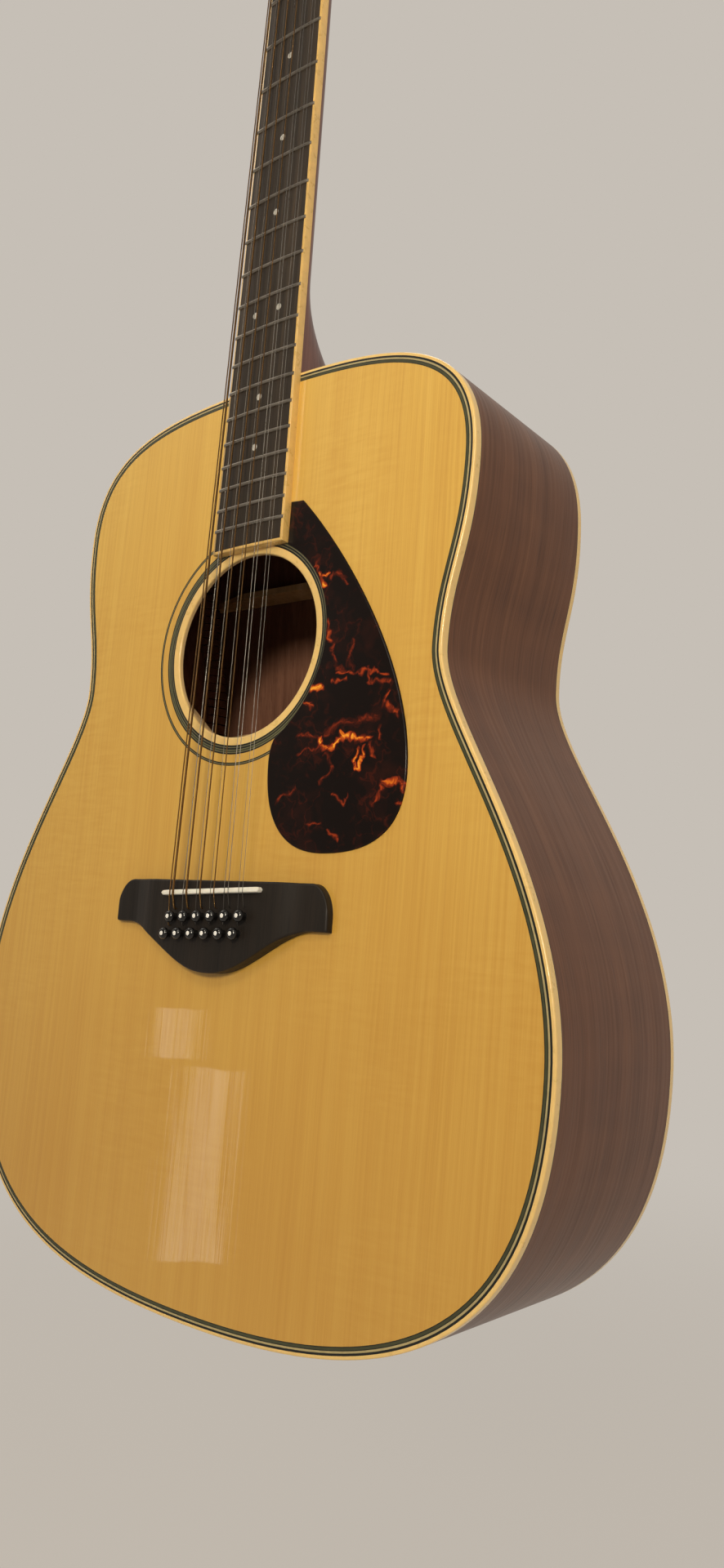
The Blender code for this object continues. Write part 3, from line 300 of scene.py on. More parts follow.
def tortoise():
    """Near-black plastic with wisps of red and orange."""
    m, nt, bsdf = start("tortoiseshell_plate")
    p = coords(nt)

    def warp(src, scale, amount):
        w = node(nt, "VectorMath", {0: noise_tex(nt, src, scale, 2.0, 0.55).outputs["Color"], 1: (0.5, 0.5, 0.5)},
                 operation='SUBTRACT').outputs[0]
        return node(nt, "VectorMath", {0: src, 1: stretched(nt, w, amount, 0.0, amount)}, operation='ADD').outputs[0]

    q = warp(warp(p, 95.0, 0.010), 260.0, 0.0045)
    flat = node(nt, "VectorMath", {0: q, 1: (1.0, 0.0, 1.0)}, operation='MULTIPLY').outputs[0]
    field = None
    for strength, width, line in WISPS:
        near = None
        for (ax_, az), (bx, bz) in zip(line, line[1:]):
            va, vb = Vector((ax_ * MM, 0, az * MM)), Vector(((bx - ax_) * MM, 0, (bz - az) * MM))
            pa = node(nt, "VectorMath", {0: flat, 1: tuple(va)}, operation='SUBTRACT').outputs[0]
            h = node(nt, "VectorMath", {0: pa, 1: tuple(vb / vb.length_squared)}, operation='DOT_PRODUCT').outputs["Value"]
            h = math_node(nt, 'MULTIPLY', h, 1.0, clamp=True)
            on = node(nt, "VectorMath", {0: tuple(vb)}, operation='SCALE')
            nt.links.new(h, on.inputs["Scale"])
            d = node(nt, "VectorMath", {0: pa, 1: on.outputs[0]}, operation='DISTANCE').outputs["Value"]
            near = d if near is None else math_node(nt, 'MINIMUM', near, d)
        v = math_node(nt, 'MULTIPLY', near, -strength / (width * MM))
        v = math_node(nt, 'ADD', v, strength * 1.12)
        field = v if field is None else math_node(nt, 'MAXIMUM', field, v)
    grain = noise_tex(nt, q, 330.0, 3.0, 0.6).outputs["Fac"]
    field = math_node(nt, 'MULTIPLY', field, ramp(nt, grain, [(0.34, grey(0.35)), (0.56, grey(1.0))]), clamp=True)
    cloud = noise_tex(nt, warp(p, 60.0, 0.03), 46.0, 3.0, 0.62).outputs["Fac"]
    vein = math_node(nt, 'ABSOLUTE', math_node(nt, 'SUBTRACT', noise_tex(nt, q, 52.0, 3.0, 0.6).outputs["Fac"], 0.5))
    c = mix(nt, ramp(nt, cloud, [(0.50, grey(0)), (0.74, grey(1))]), srgb(20, 13, 11), srgb(40, 18, 13))
    faint = math_node(nt, 'MULTIPLY', ramp(nt, vein, [(0.0, grey(0.55)), (0.022, grey(0))]), ramp(nt, cloud, [(0.42, grey(0)), (0.6, grey(1))]))
    c = mix(nt, faint, c, srgb(74, 27, 16))
    hue = ramp(nt, field, [(0.0, srgb(44, 16, 10)), (0.30, srgb(104, 36, 18)), (0.52, srgb(158, 58, 22)), (0.78, srgb(214, 112, 30)),
                           (1.0, srgb(240, 164, 52))])
    c = mix(nt, ramp(nt, field, [(0.02, grey(0)), (0.30, grey(1))]), c, hue)
    nt.links.new(c, bsdf.inputs["Base Color"])
    finish_bsdf(bsdf, 0.3, 0.08, 0.05, spec=0.12)
    bump(nt, noise_tex(nt, p, 30.0, 1.0).outputs["Fac"], 0.02, 0.002, bsdf)
    return m


def metal(name, rgb, rough=0.2, smear=0.12, scale=140.0, stretch=(1, 1, 1)):
    m, nt, bsdf = start(name)
    v = stretched(nt, coords(nt), *stretch)
    n1 = noise_tex(nt, v, scale, 4.0, 0.65).outputs["Fac"]
    n2 = noise_tex(nt, v, scale * 0.2, 2.0).outputs["Fac"]
    hi = srgb(*[min(255, v_ * 1.05) for v_ in rgb])
    lo = srgb(*[v_ * 0.84 for v_ in rgb])
    nt.links.new(mix(nt, 0.5, ramp(nt, n1, [(0.3, lo), (0.7, hi)]), ramp(nt, n2, [(0.3, lo), (0.7, hi)])),
                 bsdf.inputs["Base Color"])
    nt.links.new(ramp(nt, n1, [(0.3, grey(max(0.03, rough - smear / 2))), (0.7, grey(rough + smear))]),
                 bsdf.inputs["Roughness"])
    finish_bsdf(bsdf, None, 0.0, metal=1.0)
    bump(nt, n1, 0.02, 0.0001, bsdf)
    return m


def wound(name, rgb, pitch):
    """Bronze wrap wire: ridges along the string's own length."""
    m, nt, bsdf = start(name)
    sep = node(nt, "SeparateXYZ", {0: coords(nt, True)})
    u = math_node(nt, 'MULTIPLY', math_node(nt, 'ADD', sep.outputs["X"], math_node(nt, 'MULTIPLY', sep.outputs["Y"], pitch * MM)),
                  2 * math.pi / (pitch * MM))
    wave = math_node(nt, 'MULTIPLY_ADD', math_node(nt, 'SINE', u), 0.5, 0.5)
    n1 = noise_tex(nt, coords(nt), 90.0, 3.0).outputs["Fac"]
    # painted shade and painted highlight: the wire is darkened in the grooves between wraps and lightened on the crests
    c = ramp(nt, wave, [(0.0, srgb(*[v * 0.35 for v in rgb])), (0.45, srgb(*rgb)), (1.0, srgb(*[min(255, v * 1.15) for v in rgb]))])
    c = mix(nt, 0.3, c, ramp(nt, n1, [(0.3, srgb(*[v * 0.7 for v in rgb])), (0.7, srgb(*rgb))]))
    nt.links.new(c, bsdf.inputs["Base Color"])
    finish_bsdf(bsdf, 0.32, 0.0, metal=1.0)
    bump(nt, wave, 0.8, pitch * MM * 0.35, bsdf)
    return m


def pearl():
    m, nt, bsdf = start("pearl")
    n1 = noise_tex(nt, coords(nt), 400.0, 3.0, 0.5, 1.0).outputs["Fac"]
    nt.links.new(ramp(nt, n1, [(0.3, srgb(150, 146, 136)), (0.5, srgb(186, 180, 168)), (0.7, srgb(160, 162, 156))]),
                 bsdf.inputs["Base Color"])
    finish_bsdf(bsdf, 0.18, 0.6, 0.04)
    return m


SPRUCE = spruce_top()
SPRUCE_IN = wood("spruce_bare", (190, 152, 100), (212, 176, 122), (228, 196, 146), 520.0, 3.0, mirror=True, rough=0.75)
BRACE = wood("brace_wood_bare", (186, 146, 96), (208, 170, 118), (224, 190, 140), 420.0, 6.0, rough=0.78)
MAHOG = wood("mahogany_side", (78, 46, 26), (98, 60, 36), (116, 74, 46), 420.0, 7.0, uv=True, rough=0.38, coat=0.12,
             coat_rough=0.2, pores=0.4, pore_col=(60, 34, 22), figure=0.12, spec=0.22)
MAHOG_BACK = wood("mahogany_back", (78, 46, 33), (103, 64, 46), (126, 84, 62), 330.0, 7.0, mirror=True, rough=0.3, coat=0.7,
                  coat_rough=0.1, pores=0.55, pore_col=(52, 28, 20), figure=0.12)
MAHOG_IN = wood("mahogany_inside", (104, 68, 50), (126, 84, 63), (146, 101, 77), 330.0, 7.0, rough=0.8, pores=0.5,
                pore_col=(90, 54, 40))
NECKW = wood("neck_mahogany", (84, 46, 36), (106, 62, 48), (128, 80, 62), 330.0, 8.0, rough=0.42, coat=0.25, coat_rough=0.3,
             pores=0.5, pore_col=(56, 30, 22))
BOARDW = wood("fingerboard_rosewood", (34, 27, 20), (46, 37, 27), (70, 54, 36), 620.0, 9.0, rough=0.52, pores=0.5,
              pore_col=(24, 19, 15), bump_k=0.08, spec=0.35)
BRIDGEW = wood("bridge_rosewood", (22, 17, 13), (30, 24, 18), (40, 31, 24), 430.0, 9.0, rough=0.5, pores=0.5,
               pore_col=(15, 11, 9), spec=0.3)
HEADPLATE = wood("headplate_rosewood", (22, 16, 13), (34, 25, 20), (48, 36, 28), 380.0, 8.0, rough=0.3, coat=0.8, coat_rough=0.06,
                 pores=0.3, pore_col=(14, 10, 8))
CREAM = plastic("cream_binding", (226, 190, 118), 0.3, 0.4, 0.03, 160.0, sss=0.15)
CREAM_DARK = plastic("aged_cream_binding", (212, 172, 98), 0.3, 0.6, 0.06, 160.0, sss=0.15)
LINE_DARK = plastic("purfling_dark", (12, 14, 9), 0.4, 0.12, 0.10, 300.0)
LINE_GREEN = plastic("purfling_olive", (58, 60, 36), 0.4, 0.12, 0.10, 300.0)
LINE_LIGHT = plastic("purfling_light", (166, 150, 104), 0.4, 0.12, 0.08, 300.0)
LINE_MID = plastic("rosette_light", (122, 116, 80), 0.4, 0.12, 0.08, 300.0)
BLACK = plastic("black_polish", (14, 13, 13), 0.2, 0.25, 0.2, 300.0)
BONE = plastic("bone_offwhite", (232, 228, 214), 0.32, 0.3, 0.03, 240.0, sss=0.1)
PEARL = pearl()
WHITE = plastic("pin_dot_white", (236, 234, 228), 0.3, 0.3, 0.03, 240.0)
GUARD = tortoise()
NICKEL = metal("nickel_plate", (206, 204, 198), 0.16)
FRETM = metal("fret_wire", (160, 152, 140), 0.3, 0.16, 260.0)
STEEL = metal("plain_string_steel", (124, 120, 114), 0.3, 0.1, 300.0, (1, 1, 0.2))
GOLD = wound("bronze_wrap", (138, 104, 64), 0.36)


# ===================================================================================
#  mesh helpers
# ===================================================================================
class Build:
    """Collects vertices in millimetres, faces with a material number, and a grain map."""

    def __init__(self):
        self.v, self.f, self.m, self.uv = [], [], [], []

    def vert(self, p, uv=None):
        self.v.append((p[0] * MM, p[1] * MM, p[2] * MM))
        self.uv.append(uv if uv is not None else (p[2] * MM, p[0] * MM))
        return len(self.v) - 1

    def face(self, ids, mat=0):
        out = []
        for i in ids:
            if not out or out[-1] != i:
                out.append(i)
        if len(out) > 1 and out[0] == out[-1]:
            out.pop()
        if len(out) >= 3:
            self.f.append(tuple(out))
            self.m.append(mat)

    def rings(self, rings, mat=0, mats=None, closed=False, caps=True, uvs=None, cap_mats=None):
        """Skins a row of closed rings."""
        ids = []
        for k, r in enumerate(rings):
            ids.append([self.vert(p, uvs[k][i] if uvs else None) for i, p in enumerate(r)])
        n = len(ids[0])
        pairs = list(zip(ids, ids[1:]))
        if closed:
            pairs.append((ids[-1], ids[0]))
        for a, b in pairs:
            for i in range(n):
                j = (i + 1) % n
                self.face((a[i], a[j], b[j], b[i]), mats[i] if mats else mat)
        if not closed and caps:
            cm = cap_mats or (mat, mat)
            self.face(ids[0][::-1], cm[0])
            self.face(ids[-1], cm[1])
        return ids

    def turned(self, centre, axis, side, up, profile, n, mat=0, mats=None):
        """A turned solid: profile is (radius, height) from the bottom up."""
        rings = []
        for r, h in profile:
            rings.append([centre + axis * h + side * (r * math.cos(2 * math.pi * k / n)) + up * (r * math.sin(2 * math.pi * k / n))
                          for k in range(n)])
        ids = [[self.vert(p) for p in r] for r in rings]
        for q, (a, b) in enumerate(zip(ids, ids[1:])):
            for i in range(n):
                j = (i + 1) % n
                self.face((a[i], a[j], b[j], b[i]), mats[q] if mats else mat)
        self.face(ids[0][::-1], mats[0] if mats else mat)
        self.face(ids[-1], mats[-1] if mats else mat)

    def flat(self, loops, put, mat=0):
        """Fills a flat region given by an outer loop and holes; loops hold vertex numbers with 2-D places."""
        pts = [[Vector((p[0], p[1], 0)) for p in place] for _, place in loops]
        flat_ids = [i for ids, _ in loops for i in ids]
        for t in tessellate_polygon(pts):
            self.face([flat_ids[i] for i in t], mat)

    def done(self, name, mats, body="body", replaces=(), angle=35.0, weld=0.00001):
        me = bpy.data.meshes.new(name)
        me.from_pydata(self.v, [], self.f)
        for m in mats:
            me.materials.append(m)
        me.polygons.foreach_set("material_index", self.m)
        layer = me.uv_layers.new(name="grain")
        for lp in me.loops:
            layer.data[lp.index].uv = self.uv[lp.vertex_index]
        bm = bmesh.new()
        bm.from_mesh(me)
        if weld:
            bmesh.ops.remove_doubles(bm, verts=bm.verts, dist=weld)
        bmesh.ops.dissolve_degenerate(bm, edges=bm.edges, dist=1e-7)
        bmesh.ops.recalc_face_normals(bm, faces=bm.faces)
        if bm.calc_volume(signed=True) < 0:
            bmesh.ops.reverse_faces(bm, faces=bm.faces)
        bm.to_mesh(me)
        bm.free()
        me.shade_smooth()
        me.set_sharp_from_angle(angle=math.radians(angle))
        ob = bpy.data.objects.new(name, me)
        bpy.context.scene.collection.objects.link(ob)
        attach(ob, body)
        if replaces:
            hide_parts(*replaces)
        return ob


def smooth(t):
    t = min(max(t, 0.0), 1.0)
    return t * t * (3 - 2 * t)


def tube(b, pts, r, sides=12, mat=0, uv0=0.0):
    """A round tube along pts, its grain map holding the length run and the turn around it."""
    pts = [Vector(p) for p in pts]
    n = len(pts)
    tang = []
    for i in range(n):
        a, c = pts[max(i - 1, 0)], pts[min(i + 1, n - 1)]
        tang.append((c - a).normalized())
    ref = tang[0].orthogonal().normalized()
    run = uv0
    rings, uvs = [], []
    for i in range(n):
        if i:
            run += (pts[i] - pts[i - 1]).length
            ax = tang[i - 1].cross(tang[i])
            if ax.length > 1e-9:
                ref = Matrix.Rotation(tang[i - 1].angle(tang[i]), 3, ax.normalized()) @ ref
            ref = (ref - tang[i] * ref.dot(tang[i])).normalized()
        other = tang[i].cross(ref)
        rad = r(i / (n - 1)) if callable(r) else r
        ring = [pts[i] + ref * (rad * math.cos(2 * math.pi * k / sides)) + other * (rad * math.sin(2 * math.pi * k / sides))
                for k in range(sides + 1)]
        rings.append(ring)
        uvs.append([(run * MM, k / sides) for k in range(sides + 1)])
    ids = [[b.vert(p, uvs[q][k]) for k, p in enumerate(ring)] for q, ring in enumerate(rings)]
    for a, c in zip(ids, ids[1:]):
        for k in range(sides):
            b.face((a[k], a[k + 1], c[k + 1], c[k]), mat)
    b.face(ids[0][:-1][::-1], mat)
    b.face(ids[-1][:-1], mat)
    return run


def rounded(pts, cut):
    """Replaces each corner of a path by a short curve."""
    pts = [Vector(p) for p in pts]
    out = [pts[0]]
    for i in range(1, len(pts) - 1):
        a, p, c = pts[i - 1], pts[i], pts[i + 1]
        ka = min(cut, (p - a).length * 0.45)
        kc = min(cut, (c - p).length * 0.45)
        s, e = p + (a - p).normalized() * ka, p + (c - p).normalized() * kc
        for j in range(6):
            t = j / 5
            out.append(s * (1 - t) ** 2 + p * (2 * t * (1 - t)) + e * t * t)
    out.append(pts[-1])
    return out


# ===================================================================================
#  body outline
# ===================================================================================
CURVES = [((0, TOP_Z), (85.2, TOP_Z), (UPPER_W, UPPER_Z + 66.2), (UPPER_W, UPPER_Z)),
          ((UPPER_W, UPPER_Z), (UPPER_W, UPPER_Z - 46.7), (WAIST_W, WAIST_Z + 37.1), (WAIST_W, WAIST_Z)),
          ((WAIST_W, WAIST_Z), (WAIST_W, WAIST_Z - 36.0), (LOWER_W, LOWER_Z + 86.4), (LOWER_W, LOWER_Z)),
          ((LOWER_W, LOWER_Z), (LOWER_W, LOWER_Z - 108.8), (138.0, TAIL_Z), (0, TAIL_Z))]


def half_outline(n):
    """Points, outward normals and run length down the right-hand half."""
    out = []
    for c, (p0, p1, p2, p3) in enumerate(CURVES):
        for i in range(n + (1 if c == 3 else 0)):
            t = i / n
            s = 1 - t
            p = [s ** 3 * a + 3 * s * s * t * b + 3 * s * t * t * d + t ** 3 * e for a, b, d, e in zip(p0, p1, p2, p3)]
            q = [3 * s * s * (b - a) + 6 * s * t * (d - b) + 3 * t * t * (e - d) for a, b, d, e in zip(p0, p1, p2, p3)]
            k = math.hypot(*q)
            out.append([p[0], p[1], -q[1] / k, q[0] / k, 0.0])
    for a, b in zip(out, out[1:]):
        b[4] = a[4] + math.hypot(b[0] - a[0], b[1] - a[1])
    return out


HALF = half_outline(44)
HALF[0][2:4] = (0.0, 1.0)
HALF[-1][2:4] = (0.0, -1.0)


def inset(d, half=HALF):
    return [(max(h[0] - d * h[2], 0.0), h[1] - d * h[3]) for h in half]


def full(d):
    h = inset(d)
    return h + [(-x, z) for x, z in h[-2:0:-1]]


def depth(z):
    t = min(max((TOP_Z - z) / BACK_RUN, 0.0), 1.0)
    return BACK_LOW - (BACK_LOW - BACK_TOP) * (1 - t) ** 1.5


def half_width(z):
    for a, b in zip(HALF, HALF[1:]):
        if a[1] >= z >= b[1] and a[1] != b[1]:
            return a[0] + (b[0] - a[0]) * (a[1] - z) / (a[1] - b[1])
    return 0.0


def back_y(x, z):
    w = max(half_width(z), 1.0)
    return depth(z) + BACK_ARCH * max(0.0, 1 - (x / w) ** 2) * min(1.0, w / 80.0)


# ---- soundboard: spruce plate, purfling lines round its edge, rosette round the hole ----
b = Build()
EDGE = [(BIND_W, None), (2.9, 1), (3.8, 3), (4.2, 1), (5.3, 2), (5.7, 1)]
ids_prev = None
for d, mat in EDGE:
    loop = full(d)
    ids = [b.vert((x, 0.0, z)) for x, z in loop]
    if ids_prev is not None:
        for i in range(len(ids)):
            j = (i + 1) % len(ids)
            b.face((ids_prev[i], ids_prev[j], ids[j], ids[i]), mat)
    else:
        first = ids
    ids_prev = ids
spruce_outer, spruce_loop = ids_prev, full(EDGE[-1][0])
RING_N = 128


def circle(r):
    return [(r * math.sin(2 * math.pi * k / RING_N), HOLE_Z + r * math.cos(2 * math.pi * k / RING_N)) for k in range(RING_N)]


# radius, depth below the face, material of the band that ends there
ROSETTE = [(67.1, 0.0, None), (66.5, 0.0, 1), (66.05, 0.0, 5), (65.4, 0.0, 1), (60.9, 0.0, 0), (60.0, 0.0, 1), (59.65, 0.0, 5),
           (58.7, 0.0, 2), (58.35, 0.0, 5), (57.3, 0.0, 1), (56.95, 0.0, 5), (55.9, 0.0, 1),
           (52.5, 0.0, 6), (52.0, 0.12, 6), (51.65, 0.35, 6), (51.45, 0.7, 6), (51.4, 1.1, 6), (51.4, 1.9, 4), (51.4, TOP_T, 4)]
prev = None
for r, y, mat in ROSETTE:
    ids = [b.vert((x, y, z)) for x, z in circle(r)]
    if prev is None:
        rosette_outer = ids
    else:
        for i in range(RING_N):
            j = (i + 1) % RING_N
            b.face((prev[i], prev[j], ids[j], ids[i]), mat)
    prev = ids
hole_low = prev
b.flat([(spruce_outer, spruce_loop), (rosette_outer, circle(67.1))], None, 0)
low = [b.vert((x, TOP_T, z)) for x, z in full(BIND_W)]
for i in range(len(low)):
    j = (i + 1) % len(low)
    b.face((first[i], first[j], low[j], low[i]), 4)
b.flat([(low, full(BIND_W)), (hole_low, circle(51.4))], None, 4)
soundboard = b.done("soundboard_plate", [SPRUCE, LINE_DARK, LINE_GREEN, LINE_LIGHT, SPRUCE_IN, LINE_MID, CREAM], replaces=["soundboard"])


# ---- bindings -------------------------------------------------------------------------
def binding(name, cad, section, mats):
    """section(z) gives (inset, y) points of the strip's cross-section."""
    b = Build()
    pts = HALF + [[-h[0], h[1], -h[2], h[3], 0.0] for h in HALF[-2:0:-1]]
    rings = []
    for x, z, nx, nz, _ in pts:
        rings.append([(x - d * nx, y, z - d * nz) for d, y in section(z)])
    b.rings(rings, closed=True)
    return b.done(name, mats, replaces=[cad], angle=50)


def corner(r, steps, y0, sign):
    """Quarter round from the side face to the flat face."""
    return [(r - r * math.cos(math.pi / 2 * i / steps), y0 + sign * (r - r * math.sin(math.pi / 2 * i / steps)))
            for i in range(steps + 1)]


binding("binding_front", "top_binding",
        lambda z: [(0.0, BIND_H)] + corner(0.9, 6, 0.0, 1) + [(BIND_W, 0.0), (BIND_W, BIND_H)], [CREAM])
binding("binding_back", "back_binding",
        lambda z: [(0.0, depth(z) - BACK_BIND_H)] + corner(1.3, 6, depth(z), -1) + [(BIND_W, depth(z)), (BIND_W, depth(z) - BACK_BIND_H)],
        [CREAM])


# ---- sides ------------------------------------------------------------------------------
def side(name, cad, sign):
    b = Build()
    rings, uvs = [], []
    last = len(HALF) - 1
    for i, (x, z, nx, nz, s) in enumerate(HALF):
        D = depth(z)
        sec = [(0.0, BIND_H), (0.0, BIND_H + 0.4), (0.0, 0.5 * (BIND_H + D)), (0.0, D - BACK_BIND_H - 0.4), (0.0, D - BACK_BIND_H),
               (BIND_W, D - BACK_BIND_H), (BIND_W, D - BACK_T), (2.5, D - BACK_T), (2.5, TOP_T), (BIND_W, TOP_T), (BIND_W, BIND_H)]
        ring = []
        for d, y in sec:
            px = x - d * nx
            if i in (0, last):
                px = 0.04
            ring.append((sign * max(px, 0.04), y, z - d * nz))
        rings.append(ring)
        uvs.append([(s * MM + (0.0 if sign > 0 else 1.7), y * MM) for d, y in sec])
    b.rings(rings, mats=[1, 0, 0, 1, 0, 0, 0, 2, 0, 0, 0], uvs=uvs)
    return b.done(name, [MAHOG, LINE_DARK, MAHOG_IN], replaces=[cad])


side("side_wood_bass", "side_bass", -1)
side("side_wood_treble", "side_treble", 1)


# ---- linings glued inside the edges, with their saw kerfs ----------------------------------
def at_run(s):
    """Point and normal of the half outline at run length s."""
    lo, hi = 0, len(HALF) - 1
    while hi - lo > 1:
        m = (lo + hi) // 2
        if HALF[m][4] <= s:
            lo = m
        else:
            hi = m
    a, c = HALF[lo], HALF[hi]
    t = (s - a[4]) / (c[4] - a[4])
    return [a[k] + (c[k] - a[k]) * t for k in range(4)]


def lining(name, front):
    b = Build()
    total = HALF[-1][4]

    def sec(s, sign, d):
        x, z, nx, nz = at_run(s)
        return sign * (x - d * nx), z - d * nz

    for sign in (-1, 1):
        s = 16.0
        while s + 5.0 < total - 1.0:
            q = []
            for e in (s, s + 4.7):
                z_ref = at_run(e)[1]
                y0 = TOP_T if front else depth(z_ref) - BACK_T
                k = 1 if front else -1
                for d, y in ((2.5, y0), (8.0, y0), (8.0, y0 + k * 5.5), (3.6, y0 + k * 14.0), (2.5, y0 + k * 14.0)):
                    x, z = sec(e, sign, d)
                    q.append((x, y, z))
            a = [b.vert(p) for p in q[:5]]
            c = [b.vert(p) for p in q[5:]]
            for i in range(5):
                j = (i + 1) % 5
                b.face((a[i], a[j], c[j], c[i]))
            b.face(a[::-1])
            b.face(c)
            s += 5.5
    return b.done(name, [MAHOG_IN], weld=0)


lining("lining_front", True)
lining("lining_back", False)


# ---- back: arched, book-matched, with a thin line inside its binding -------------------------
def back_plate():
    b = Build()
    cols = 14

    def layer(line, off, mat_mid):
        rows = []
        for j, (w, z) in enumerate(line):
            if j in (0, len(line) - 1) or w < 2.0:
                rows.append([b.vert((0.0, back_y(0.0, z) - off, z))])
            else:
                e = min(0.5, w * 0.3)
                xs = [-w + (w - e) * k / cols for k in range(cols + 1)] + [e + (w - e) * k / cols for k in range(cols + 1)]
                rows.append([b.vert((x, back_y(x, z) - off, z)) for x in xs])
        for p, q in zip(rows, rows[1:]):
            if len(p) == 1 and len(q) == 1:
                continue
            if len(p) == 1 or len(q) == 1:
                one, many = (p, q) if len(p) == 1 else (q, p)
                for k in range(len(many) - 1):
                    b.face((one[0], many[k], many[k + 1]), mat_mid)
            else:
                for k in range(len(p) - 1):
                    b.face((p[k], p[k + 1], q[k + 1], q[k]), 1 if k == cols and off == 0 else mat_mid)
        return rows

    rim = inset(BIND_W)
    line = inset(BIND_W + 0.5)
    outer = layer(line, 0.0, 0)
    inner = layer(rim, BACK_T, 2)
    # dark line between the plate and its binding, then the edge
    edge_o = [b.vert((x, depth(z), z)) for x, z in rim] + [b.vert((-x, depth(z), z)) for x, z in rim[-2:0:-1]]

    def rim_of(rows):
        right = [r[-1] for r in rows]
        left = [r[0] for r in rows]
        return right + left[-2:0:-1]

    ro, ri = rim_of(outer), rim_of(inner)
    n = len(edge_o)
    for i in range(n):
        j = (i + 1) % n
        b.face((ro[i], ro[j], edge_o[j], edge_o[i]), 1)
        b.face((edge_o[i], edge_o[j], ri[j], ri[i]), 2)
    return b.done("back_wood", [MAHOG_BACK, LINE_DARK, MAHOG_IN], replaces=["back_plate"], angle=40)


back_plate()


# ===================================================================================
#  neck and headstock
# ===================================================================================
def head(x, u, n):
    return Vector((0, 0, HEAD_Z0)) + X * x + U * u + N * n


def board_half(z):
    return BOARD_NUT - BOARD_TAPER * z


def catmull(pts, steps):
    out = []
    for i in range(len(pts) - 1):
        p0 = pts[max(i - 1, 0)]
        p1, p2 = pts[i], pts[i + 1]
        p3 = pts[min(i + 2, len(pts) - 1)]
        for j in range(steps):
            t = j / steps
            out.append(tuple(0.5 * ((2 * b_) + (-a + c) * t + (2 * a - 5 * b_ + 4 * c - d) * t * t + (-a + 3 * b_ - 3 * c + d) * t ** 3)
                             for a, b_, c, d in zip(p0, p1, p2, p3)))
    out.append(tuple(pts[-1]))
    return out


HEAD_SIDE = ([(1.5, 20.7), (4.0, 21.1), (8.0, 23.0), (12.5, 27.3), (17.0, 31.8), (22.0, 34.5), (30.0, 35.5)],
             [(30.0, 35.5), (60.0, 36.2), (100.0, 37.3), (130.0, 38.2), (160.0, 38.9)],
             [(160.0, 38.9), (167.0, 38.6), (171.5, 36.6), (174.5, 32.6), (177.0, 26.0), (179.2, 18.0), (181.2, 9.0), (182.0, 2.0)])
head_line = []
for part, k in zip(HEAD_SIDE, (5, 3, 6)):
    seg = catmull(part, k)
    head_line += seg if not head_line else seg[1:]

BACK_PTS = 37


def section(w, d, px, pn, slim=0.0):
    """Back of a section from the right edge round to the left: (x, depth) pairs."""
    out = []
    for i in range(1, BACK_PTS + 1):
        a = math.pi * i / (BACK_PTS + 1)
        c, s = math.cos(a), math.sin(a)
        out.append((w * (1 if c > 0 else -1) * abs(c) ** px * (1 - slim * s), d * s ** pn))
    return out


def neck_ring(z):
    w = board_half(z)
    d = NECK_D_NUT + (NECK_D_MID - NECK_D_NUT) * smooth(-z / 200.0)
    t = min(max((z - (TOP_Z + HEEL_RUN)) / -HEEL_RUN, 0.0), 1.0)
    flare = 1 - max(0.0, 1 - t ** 1.8) ** 0.95
    d = d + (HEEL_D - d) * flare
    return [(-w, 0.0, z), (w, 0.0, z)] + [(x, y, z) for x, y in section(w, d, 1.2 + 0.25 * flare, 1.12 - 0.27 * flare, 0.25 * flare)]


def head_ring(u, w, t, px, pn, top=-1.25):
    return [tuple(head(-w, u, top)), tuple(head(w, u, top))] + [tuple(head(x, u, top - y * (t + top) / t)) for x, y in section(w, t, px, pn)]


b = Build()
rings = []
tz = TOP_Z + 0.3
for i in range(25):
    s = (i / 24.0) ** 1.9
    rings.append(neck_ring(tz + (HEEL_RUN - 0.3) * s))
for i in range(1, 13):
    rings.append(neck_ring(TOP_Z + HEEL_RUN + (-8 - TOP_Z - HEEL_RUN) * i / 12.0))
rings.append(head_ring(0.6, 20.6, 13.4, 1.15, 1.08, 0.0))
rings.append(head_ring(1.4, 20.7, 13.6, 1.12, 1.05, 0.0))
for u, w in head_line:
    k = smooth((u - 1.5) / 17.0)
    rings.append(head_ring(u, w, 13.6 + 0.4 * smooth(u / 10.0), 1.12 - 1.06 * k, 1.05 - 0.99 * k))
b.rings(rings, caps=True)
b.done("neck_wood_piece", [NECKW], replaces=["neck"], angle=38)

# headplate veneer: the headstock's outline, its upper edge eased
b = Build()


def head_outline(e):
    """Outline of the headstock's face, moved in by e."""
    pts = []
    line = [(w, u) for u, w in head_line]
    for i, (w, u) in enumerate(line):
        a, c = line[max(i - 1, 0)], line[min(i + 1, len(line) - 1)]
        dx, du = c[0] - a[0], c[1] - a[1]
        k = math.hypot(dx, du)
        pts.append((max(w - e * du / k, 0.3), max(u + e * dx / k, 1.5 + e)))
    return pts + [(-w, u) for w, u in pts[::-1]]


layers = []
for e, n in ((0.0, -1.25), (0.0, -0.4), (0.12, -0.12), (0.4, 0.0)):
    layers.append([tuple(head(x, u, n)) for x, u in head_outline(e)])
b.rings(layers, caps=False)
ids0 = list(range(len(layers[0])))
ids3 = [len(layers[0]) * 3 + i for i in ids0]
b.flat([(ids0, head_outline(0.0))], None, 0)
b.flat([(ids3, head_outline(0.4))], None, 0)
b.done("headplate", [HEADPLATE])

# plain bell-shaped cover over the truss rod's end, with two screws
b = Build()
cover = []
for i in range(25):
    t = i / 24
    u = 3.5 + 26.0 * t
    w = 4.2 + 5.6 * (1 - smooth(t * 1.5)) if t < 0.999 else 3.0
    cover.append((w, u))
cover += [(w * math.cos(a), 29.5 + 3.4 * math.sin(a)) for a, w in ((0.35, 4.0), (0.8, 4.1), (1.25, 4.1))]
cov_full = cover + [(-w, u) for w, u in cover[::-1]]


